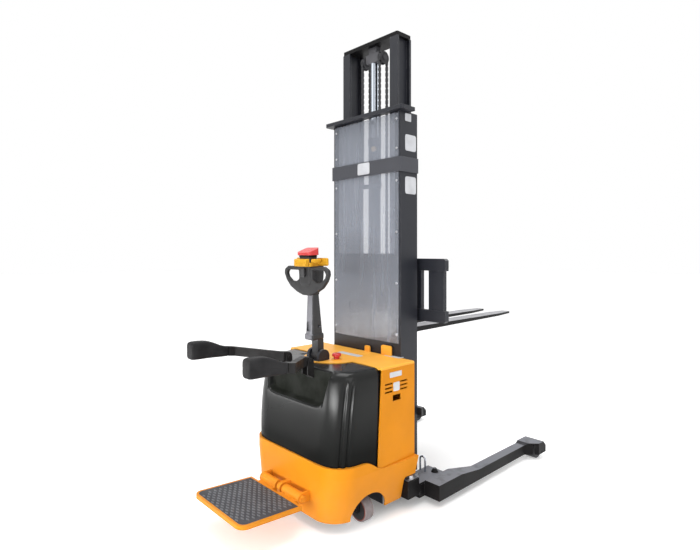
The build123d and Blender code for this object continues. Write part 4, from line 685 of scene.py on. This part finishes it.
def hood_point(column, z, inset=0.0):
    """A point of the hood's outside at a height.

    A column is (kind, value at the foot, value at the top, groove depth).
    """
    kind, foot, top, groove = column
    rise = share_of(HOOD_Z, z)
    bulge = HOOD_BULGE * 4 * rise * (1 - rise) - inset
    rear_y = between(HOOD_REAR_Y, rise) - bulge
    half = between(HOOD_REAR_HALF, rise) + bulge
    front = between(HOOD_FRONT_HALF, rise) - inset
    slope = (front - half) / (HOOD_FRONT_Y - rear_y)
    corner = HOOD_CORNER - inset
    centre_x = half + corner * (slope - math.hypot(1, slope))
    value = between((foot, top), rise)
    if kind == "rear":
        if value <= centre_x:
            return Vector((value, rear_y, z))
        turn = math.asin((value - centre_x) / corner)
    elif kind == "corner":
        turn = math.radians(value)
    else:
        turn = math.atan2(1, slope)
    fade = 1 - min(max(share_of(FLUTE_FADE_Z, z), 0), 1)
    reach = corner - groove * fade
    point = Vector((centre_x + reach * math.sin(turn), rear_y + corner - reach * math.cos(turn), z))
    if kind == "side":
        seam_y = between(SEAM_Y, share_of(SEAM_Z, z))
        point += Vector((slope, 1, 0)) * (seam_y - point.y) * value
    return point


def ledge_z(y):
    """Height of the skirt's ledge, which climbs in an S from the sides to the rear.

    The S is a cubic curve that leaves both ends level, with its inner points halfway along Y.
    """
    low, high = 0.0, 1.0
    for _ in range(LEDGE_HALVINGS):
        share = (low + high) / 2
        even = 1.5 * share * (1 - share)
        reached = LEDGE_BEND_Y[0] * ((1 - share) ** 3 + even) + LEDGE_BEND_Y[1] * (share ** 3 + even)
        low, high = (share, high) if reached > y else (low, share)
    return between(LEDGE_Z, low * low * (3 - 2 * low))


def hood_columns():
    """Columns of the hood's right half from its middle to the seam: in the sunk panel, and the others."""
    foot, top = SUNK_HALF
    sunk = [("rear", foot * share, top * share, 0) for share in SUNK_SHARES]
    sunk += [("rear", foot - inset, top - inset, 0) for inset in SUNK_INSETS]
    plain = [("rear", foot + outset, top + outset, 0) for outset in SUNK_OUTSETS]
    plain += [("rear", *REAR_COLUMN, 0), ("corner", *CORNER_COLUMN, 0)]
    for low, high in FLUTES:
        for share, depth in FLUTE_PROFILE:
            shift = share * FLUTE_HALF
            plain.append(("corner", low + shift, high + shift, depth * FLUTE_DEPTH))
    plain += [("side", share, share, 0) for share in SIDE_SHARES]
    return sunk, plain


def lip_climb(column):
    """How far the sunk panel's lip climbs towards the panel's rounded lower corners."""
    reach = max(SUNK_CORNER - (SUNK_HALF[0] - column[1]), 0)
    return SUNK_CORNER - math.sqrt(SUNK_CORNER ** 2 - reach ** 2)


def hood_wall(column, is_sunk):
    """Points of one column from the ledge up to the start of the top edge."""
    foot_z = ledge_z(hood_point(column, LEDGE_Z[0]).y)
    climb = lip_climb(column) if is_sunk else 0.0
    lip_z = SUNK_LIP_Z + climb
    points = [hood_point(column, between((foot_z, lip_z), share)) for share in WALL_SHARES]
    for z in PANEL_Z:
        fading = 1 - share_of((SUNK_FOOT_Z, HOOD_Z[1]), z)
        point = hood_point(column, z + climb * fading)
        if is_sunk:
            point.y = SUNK_Y
        points.append(point)
    return points


def hood_edge(column, is_sunk):
    """Points of one column over the rounded top edge."""
    radius = SUNK_EDGE_R if is_sunk else HOOD_EDGE_R
    points = []
    for turn in EDGE_TURNS:
        inset = radius * (1 - math.cos(math.radians(turn)))
        rim = hood_point(column, HOOD_Z[1], inset)
        if is_sunk:
            rim.y = SUNK_Y + inset
        rim.z = HOOD_Z[1] - radius * (1 - math.sin(math.radians(turn)))
        points.append(rim)
    return points


def hood_top(column, edge):
    """Points of one column along the top, from the edge to the cover's seam or its round island."""
    if column[0] == "side":
        reach = math.sqrt(ISLAND_R ** 2 - (SEAM_Y[1] - ISLAND_Y) ** 2)
        seam = hood_point(("side", 1, 1, 0), HOOD_Z[1], HOOD_EDGE_R)
        inner = Vector((between((reach, seam.x), column[1]), SEAM_Y[1], HOOD_Z[1]))
    else:
        last = hood_point(("side", 0, 0, 0), HOOD_Z[1], HOOD_EDGE_R)
        turn = math.radians(ISLAND_TURN) * edge.x / last.x
        inner = Vector((ISLAND_R * math.sin(turn), ISLAND_Y - ISLAND_R * math.cos(turn), HOOD_Z[1]))
    return [edge.lerp(inner, share) for share in TOP_SHARES]


def hood_rows(column, is_sunk):
    points = hood_wall(column, is_sunk) + hood_edge(column, is_sunk)
    return points + hood_top(column, points[-1])


def hood_shell():
    """Moulded hood: bulging walls, soft sunk panel at the back, two flutes up each rear corner."""
    sunk, plain = hood_columns()
    right = [hood_rows(column, True) for column in sunk] + [hood_rows(column, False) for column in plain]
    left = [[Vector((-p.x, p.y, p.z)) for p in rows] for rows in right[:0:-1]]

    def build(work):
        grid = [[work.verts.new(point) for point in rows] for rows in left + right]
        for number, (first, second) in enumerate(zip(grid, grid[1:])):
            in_panel = abs(number + 0.5 - len(left)) < len(sunk) - 1
            for index in range(len(first) - 1):
                face = work.faces.new((first[index], second[index], second[index + 1], first[index + 1]))
                face.material_index = int(in_panel and index in SUNK_ROWS)

    shell = mesh_piece("hood_shell", build, hood, "chassis")
    shell.data.materials.append(sunk_black.material)
    soften(shell, levels=2).boundary_smooth = "PRESERVE_CORNERS"
    wall = shell.modifiers.new("wall", "SOLIDIFY")
    wall.thickness = HOOD_WALL
    wall.offset = -1
    shell.data.shade_smooth()
    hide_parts("rear_hood")


def arm_pad(side):
    """Moulded grip pad: crowned faces, a parting groove along both sides and a softly cut-off end."""
    node = f"arm_pad_{side}"
    low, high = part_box(node)
    centre_x = (low.x + high.x) / 2
    centres_z = (low.z + PAD_NECK[1], high.z - PAD_END[1])

    def ring(share, swell, cut):
        """Crowned, squared section at a share of the pad's length."""
        y = between((high.y, low.y), share)
        centre_z = between(centres_z, swell)
        half_x = between((PAD_NECK[0], PAD_END[0]), swell) * cut - PAD_CROWN
        half_z = between((PAD_NECK[1], PAD_END[1]), swell) * cut - PAD_CROWN
        in_groove = PAD_GROOVE_RUN[0] < share < PAD_GROOVE_RUN[1]
        points = []
        for turn in PAD_ANGLES:
            along = math.cos(math.radians(turn))
            up = math.sin(math.radians(turn))
            square = (abs(along) ** PAD_SQUARENESS + abs(up) ** PAD_SQUARENESS) ** (-1 / PAD_SQUARENESS)
            crown = PAD_CROWN * (1 - (abs(along) - abs(up)) ** 2)
            groove = PAD_GROOVE if in_groove and turn in PAD_SEAMS else 0.0
            x = centre_x + along * (half_x * square - groove + crown)
            points.append((x, y, centre_z + up * (half_z * square + crown)))
        return points

    def build(work):
        skin(work, [ring(*station) for station in PAD_STATIONS])

    pad = mesh_piece(f"pad_{side}", build, rubber, f"arm_{side}")
    soften(pad, levels=1)
    smooth(pad, PAD_CREASE)
    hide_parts(node)


def leaf_link(work, x, start, end, wide):
    """One link of leaf chain in the YZ plane between two pins: plates side by side, and the first pin."""
    start, end = Vector(start), Vector(end)
    along = (end - start).normalized()
    across = Vector((along.y, -along.x))
    radius, thick = CHAIN_PLATE
    outline = []
    for centre, turn in ((start, math.pi), (end, 0.0)):
        for step in range(CHAIN_PLATE_STEPS + 1):
            angle = turn + math.pi * (step / CHAIN_PLATE_STEPS - 0.5)
            outline.append(centre + radius * (math.cos(angle) * along + math.sin(angle) * across))
    upright = Matrix(((0, 0, 1), (1, 0, 0), (0, 1, 0))).to_4x4()
    for offset in CHAIN_WIDE_X if wide else CHAIN_NARROW_X:
        prism(work, outline, thick, Matrix.Translation((x + offset, 0, 0)) @ upright)
    pin = [start + Vector(point) for point in circle(CHAIN_PIN_R, CHAIN_PIN_SIDES)]
    prism(work, pin, CHAIN_PIN_LONG, Matrix.Translation((x - CHAIN_PIN_LONG / 2, 0, 0)) @ upright)


def straight_chain(name, x, y, low_z, high_z):
    """Straight run of leaf chain."""
    count = round((high_z - low_z) / CHAIN_PITCH)
    step = (high_z - low_z) / count

    def build(work):
        for index in range(count):
            z = low_z + index * step
            leaf_link(work, x, (y, z), (y, z + step), index % 2 == 0)

    chain = mesh_piece(name, build, chain_steel)
    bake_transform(chain)
    return chain


def wrapped_chain(name, x, centre):
    """Half turn of leaf chain over its pulley."""

    def build(work):
        points = []
        for index in range(CHAIN_WRAP_LINKS + 1):
            angle = math.pi * (1 - index / CHAIN_WRAP_LINKS)
            points.append(centre + CHAIN_WRAP_R * Vector((math.cos(angle), math.sin(angle))))
        for index, (start, end) in enumerate(zip(points, points[1:])):
            leaf_link(work, x, start, end, index % 2 == 0)

    mesh_piece(name, build, chain_steel, "inner_mast")


def chains():
    """Leaf chains from the cylinder clamp over the pulleys to the carriage."""
    stands = {"lift_chain_rear": [], "lift_chain_front": []}
    rear_y, front_y = (middle(node).y for node in stands)
    rear_z, front_z = (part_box(node)[0].z for node in stands)
    for side in SIDES:
        hub = middle(f"chain_pulley_{side}")
        stands["lift_chain_rear"].append(
            straight_chain(f"chain_rear_{side}", hub.x, rear_y, rear_z, hub.z))
        stands["lift_chain_front"].append(
            straight_chain(f"chain_front_{side}", hub.x, front_y, front_z, hub.z))
        wrapped_chain(f"chain_wrap_{side}", hub.x, Vector((hub.y, hub.z)))
    for node, pieces in stands.items():
        for piece in pieces:
            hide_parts(node)


def tread_mat():
    """Rubber mat in the pedal's tray with rows of raised diamonds, inclined as the pedal is."""
    source = nodes["pedal_mat"]
    points = [source.matrix_world @ vertex.co for vertex in source.data.vertices]
    hinge_y = max(point.y for point in points)
    tip_y = min(point.y for point in points)
    hinge_z = max(point.z for point in points if point.y > hinge_y - MAT_END)
    tip_z = max(point.z for point in points if point.y < tip_y + MAT_END)
    tilt = math.atan2(tip_z - hinge_z, hinge_y - tip_y)
    place = Matrix.Translation(joints["pedal_fold"]["pos_m"]) @ Matrix.Rotation(-tilt, 4, "X")
    level = [place.inverted() @ point for point in points]
    low = Vector(min(point[axis] for point in level) for axis in range(3))
    high = Vector(max(point[axis] for point in level) for axis in range(3))
    long, wide, tall = STUD
    base_z = high.z - tall

    def base(work):
        """Flat mat, with round corners at the pedal's tip."""
        outline = []
        y = low.y + MAT_CORNER
        for x, turn in ((high.x - MAT_CORNER, -0.5), (low.x + MAT_CORNER, -1.0)):
            for step in range(MAT_CORNER_STEPS + 1):
                angle = math.pi * (turn + 0.5 * (1 - step / MAT_CORNER_STEPS))
                outline.append((x + MAT_CORNER * math.cos(angle), y + MAT_CORNER * math.sin(angle)))
        outline += [(low.x, high.y), (high.x, high.y)]
        prism(work, outline, base_z - low.z, place @ Matrix.Translation((0, 0, low.z)))

    def stud(work, x, y):
        rings = []
        for z, share in ((base_z - STUD_SINK, 1.0), (high.z, STUD_TOP)):
            diamond = ((long, 0), (0, wide), (-long, 0), (0, -wide))
            rings.append([place @ Vector((x + dx * share, y + dy * share, z)) for dx, dy in diamond])
        skin(work, rings)

    def build(work):
        base(work)
        plain = set(work.faces)
        columns = int((high.x - low.x - 2 * long) / STUD_PITCH[0])
        rows = int((high.y - low.y - 2 * wide) / STUD_PITCH[1])
        for row in range(2 * rows + 1):
            odd = row % 2
            y = (low.y + high.y) / 2 + (row / 2 - rows / 2) * STUD_PITCH[1]
            for column in range(columns + odd):
                x = (column - (columns - 1 + odd) / 2) * STUD_PITCH[0]
                near_corner = abs(x) > high.x - MAT_CORNER - long / 2 and y < low.y + MAT_CORNER
                if not near_corner:
                    stud(work, x, y)
        for face in work.faces:
            face.material_index = int(face not in plain)

    mat = mesh_piece("tread_mat", build, mat_rubber, "pedal")
    mat.data.materials.append(stud_rubber.material)
    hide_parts("pedal_mat")


def bleed_fitting():
    """Brass bleed screw on the back of the lift cylinder: a hexagon and a round nose."""
    radius, long = BLEED_SIZE
    place = Matrix.Translation(BLEED_AT) @ Matrix.Rotation(math.radians(BLEED_TURN), 4, "Z")
    place @= Matrix.Rotation(math.radians(90), 4, "X")

    def build(work):
        for size, sides, start, depth in (BLEED_HEXAGON, BLEED_NOSE):
            outline = circle(radius * size, sides)
            prism(work, outline, depth * long, place @ Matrix.Translation((0, 0, start * long)))

    smooth(mesh_piece("bleed_fitting", build, brass, "chassis"))


def belly_gaiter():
    """Folded rubber gaiter that fills the travel under the safety button."""
    wide, deep, tall = GAITER_SIZE
    place = Matrix.Translation(GAITER_AT) @ Matrix.Rotation(math.radians(TILLER_LEAN), 4, "X")

    def build(work):
        rings = []
        for share, size in GAITER_FOLDS:
            outline = rounded_box(wide * size, deep * size, GAITER_CORNER)
            rings.append([place @ Vector((x, y, tall * share)) for x, y in outline])
        skin(work, rings)

    gaiter = mesh_piece("belly_gaiter", build, rubber)
    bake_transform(gaiter)


def on_tiller():
    """Place of pieces that are built upright about the tiller's pivot."""
    lean = Matrix.Rotation(math.radians(TILLER_LEAN), 4, "X")
    return Matrix.Translation(joints["tiller_tilt"]["pos_m"]) @ lean


def paddle_sections():
    """Share of a paddle's length and size of each section: root, grooves between the ribs, tip."""
    sections = list(PADDLE_ROOT)
    for share in PADDLE_GROOVES:
        sections.append((share - PADDLE_GROOVE_HALF, 1.0))
        sections.append((share, PADDLE_GROOVE_SIZE))
        sections.append((share + PADDLE_GROOVE_HALF, 1.0))
    return sections + list(PADDLE_TIP)


def thumb_paddles():
    """Ribbed thumb paddles of the throttle, with the ends of their shaft that show beside the head."""
    axle = Vector(joints["throttle_turn"]["pos_m"])
    tilt = on_tiller().to_3x3()
    long, deep, tall = PADDLE_SIZE

    def section(x, outline):
        return [axle + tilt @ Vector((x, y, z)) for y, z in outline]

    def build(work):
        for side in (1, -1):
            rings = []
            for share, size in paddle_sections():
                outline = rounded_box(deep * size, tall * size, PADDLE_CORNER)
                rings.append(section(side * (PADDLE_X + long * share), outline))
            skin(work, rings)
            ends = (PADDLE_X * SHAFT_START, PADDLE_X + SHAFT_SINK)
            skin(work, [section(side * end, circle(SHAFT_R)) for end in ends])

    paddles = mesh_piece("thumb_paddles", build, yellow_plastic, "throttle")
    smooth(paddles)
    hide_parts("throttle")


def head_trim():
    """Visor and nose cap of the tiller head, and the deep front of its moulding under them."""
    place = on_tiller()
    count = len(VISOR_SIDE)
    core = Vector((sum(y for y, z in VISOR_SIDE) / count, sum(z for y, z in VISOR_SIDE) / count))

    def level_ring(wide, rear, front, z):
        outline = rounded_box(wide, front - rear, HEAD_CORNER)
        return [place @ Vector((x, y + (rear + front) / 2, z)) for x, y in outline]

    def visor_and_cap(work):
        rings = []
        for across, size in VISOR_ENDS:
            points = [core + (Vector(point) - core) * size for point in VISOR_SIDE]
            rings.append([place @ Vector((across * VISOR_HALF, y, z)) for y, z in points])
        skin(work, rings)
        rings = [level_ring(CAP_WIDE, *CAP_Y, CAP_Z[0])]
        for depth, inset in CAP_RIM:
            rear, front = CAP_Y[0] + inset, CAP_Y[1] - inset
            rings.append(level_ring(CAP_WIDE - 2 * inset, rear, front, CAP_Z[1] - depth))
        skin(work, rings)

    def nose(work):
        skin(work, [level_ring(2 * half, NOSE_BACK_Y, front, z) for z, half, front in NOSE_RINGS])

    smooth(mesh_piece("head_visor", visor_and_cap, yellow_plastic, "tiller"))
    smooth(mesh_piece("head_nose", nose, head_plastic, "tiller"))


def stop_button():
    """Turned stop button: a flat mushroom on a waisted neck, on its stem through the top cover."""
    centre = middle("estop_button")
    foot_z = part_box("estop_button")[0].z

    def build(work):
        turned = [(STOP_RINGS[0][0], foot_z)] + [(radius, COVER_TOP_Z + rise) for radius, rise in STOP_RINGS]
        rings = []
        for radius, z in turned:
            rings.append([Vector((centre.x + x, centre.y + y, z)) for x, y in circle(radius, STOP_SIDES)])
        skin(work, rings)

    button = mesh_piece("stop_button", build, red, "estop_button")
    smooth(button)
    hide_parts("estop_button")


def wheel_house_and_shade(name, side):
    """Bent sheet round a caster that closes the wheel arch off from the inside; being black, it also stands
    in for the shade in the arch.
    """
    low, high = HOUSE_AND_SHADE_Z
    plan = [(side * x, y) for x, y in HOUSE_AND_SHADE_PLAN]

    def build(work):
        prism(work, plan, high - low, Matrix.Translation((0, 0, low)))

    # Black sheet: a housing, and painted shade inside the wheel arch
    mesh_piece(f"wheel_house_and_shade_{name}", build, black, "chassis")


def blank_plate(name, centre, size, normal, up):
    """Thin blank plate with rounded corners, laid on a surface."""
    normal, up = Vector(normal), Vector(up)
    place = Matrix((up.cross(normal), up, normal)).transposed().to_4x4()
    place.translation = Vector(centre)
    outline = rounded_box(*size, min(size) * PLATE_CORNER_SHARE)

    def build(work):
        prism(work, outline, PLATE_THICK, place)

    mesh_piece(name, build, pale, "chassis")


def blank_plates():
    """Plain plates where the machine carries its labels."""
    mast_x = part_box("outer_mast")[1].x
    body_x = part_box("body_shell")[1].x
    for name, y, z, size in MAST_PLATES:
        blank_plate(f"mast_plate_{name}", (mast_x, y, z), size, (1, 0, 0), (0, 0, 1))
    for name, y, z, size in BODY_PLATES:
        blank_plate(f"body_plate_{name}", (body_x, y, z), size, (1, 0, 0), (0, 0, 1))
    for name, x, y, size in COVER_PLATES:
        blank_plate(f"cover_plate_{name}", (x, y, COVER_TOP_Z), size, (0, 0, 1), (0, 1, 0))
    x, z, size = BAND_PLATE
    blank_plate("band_plate", (x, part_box("mast_band")[0].y, z), size, (0, -1, 0), (0, 0, 1))


def photo_camera():
    """The photograph's camera, level, with its view shifted down a little."""
    data = bpy.data.cameras.new("photo_camera")
    data.sensor_fit = "HORIZONTAL"
    data.sensor_width = CAMERA_SENSOR
    data.lens = CAMERA_LENS
    data.shift_y = CAMERA_SHIFT_Y
    camera = bpy.data.objects.new("photo_camera", data)
    camera.location = CAMERA_AT
    camera.rotation_euler = (math.radians(90), 0, math.radians(CAMERA_TURN))
    bpy.context.collection.objects.link(camera)
    bpy.context.scene.camera = camera
    bpy.context.scene.view_settings.view_transform = "Standard"


def studio_lamps():
    """Soft area lamps, which the camera doesn't see."""
    for name, (place, aim, size, power, spread) in LAMPS.items():
        lamp = bpy.data.lights.new(name, "AREA")
        lamp.shape = "RECTANGLE"
        lamp.size, lamp.size_y = size
        lamp.energy = power
        lamp.spread = math.radians(spread)
        light = bpy.data.objects.new(name, lamp)
        light.location = place
        light.rotation_euler = (Vector(aim) - Vector(place)).to_track_quat("-Z", "Y").to_euler()
        light.visible_camera = False
        bpy.context.collection.objects.link(light)


def seen_white(tree, otherwise, seen):
    """A strength that the camera, reflections and clear sheets see, and another that lights the object."""
    path = tree.nodes.new("ShaderNodeLightPath")
    total = path.outputs["Is Camera Ray"]
    for ray in ("Is Glossy Ray", "Is Transmission Ray"):
        either = tree.nodes.new("ShaderNodeMath")
        either.operation = "MAXIMUM"
        tree.links.new(total, either.inputs[0])
        tree.links.new(path.outputs[ray], either.inputs[1])
        total = either.outputs["Value"]
    strength = tree.nodes.new("ShaderNodeMapRange")
    strength.inputs["To Min"].default_value = otherwise
    strength.inputs["To Max"].default_value = seen
    tree.links.new(total, strength.inputs["Value"])
    return strength.outputs["Result"]


def white_sky():
    """World that is seen as white and lights the object less."""
    world = bpy.data.worlds.new("studio")
    world.use_nodes = True
    tree = world.node_tree
    sky = tree.nodes["Background"]
    sky.inputs["Color"].default_value = WHITE
    tree.links.new(seen_white(tree, SKY_LIGHT, SKY_SEEN), sky.inputs["Strength"])
    bpy.context.scene.world = world


def pale_floor():
    """Pale floor that keeps the object's shadow and fades to white away from it."""
    bpy.ops.mesh.primitive_plane_add(size=FLOOR_SIZE, location=(0, 0, FLOOR_Z))
    floor = bpy.context.object
    floor.name = "floor"
    shader = Shader("floor", FLOOR_TONE, rough=0.7)
    shader.paint(shader.mix(shader.span(shader.noise(scale=1.5), *NOISE_SPAN), *FLOOR_MOTTLE))
    shader.set(Emission_Color=WHITE)
    away = shader.add("ShaderNodeVectorMath", operation="LENGTH")
    shader.link(shader.place, away.inputs[0])
    unlit = shader.span(away.outputs["Value"], *FLOOR_LIT_R)
    glow = shader.math("MULTIPLY", unlit, seen_white(shader.tree, 0.0, FLOOR_GLOW))
    shader.link(glow, shader.surface.inputs["Emission Strength"])
    floor.data.materials.append(shader.material)


photo_camera()
studio_lamps()
white_sky()
pale_floor()
dress_cad()
for side in SIDES:
    arm_pad(side)
hood_shell()
chains()
tread_mat()
bleed_fitting()
belly_gaiter()
thumb_paddles()
head_trim()
stop_button()
wheel_house_and_shade("right", 1)
wheel_house_and_shade("left", -1)
blank_plates()
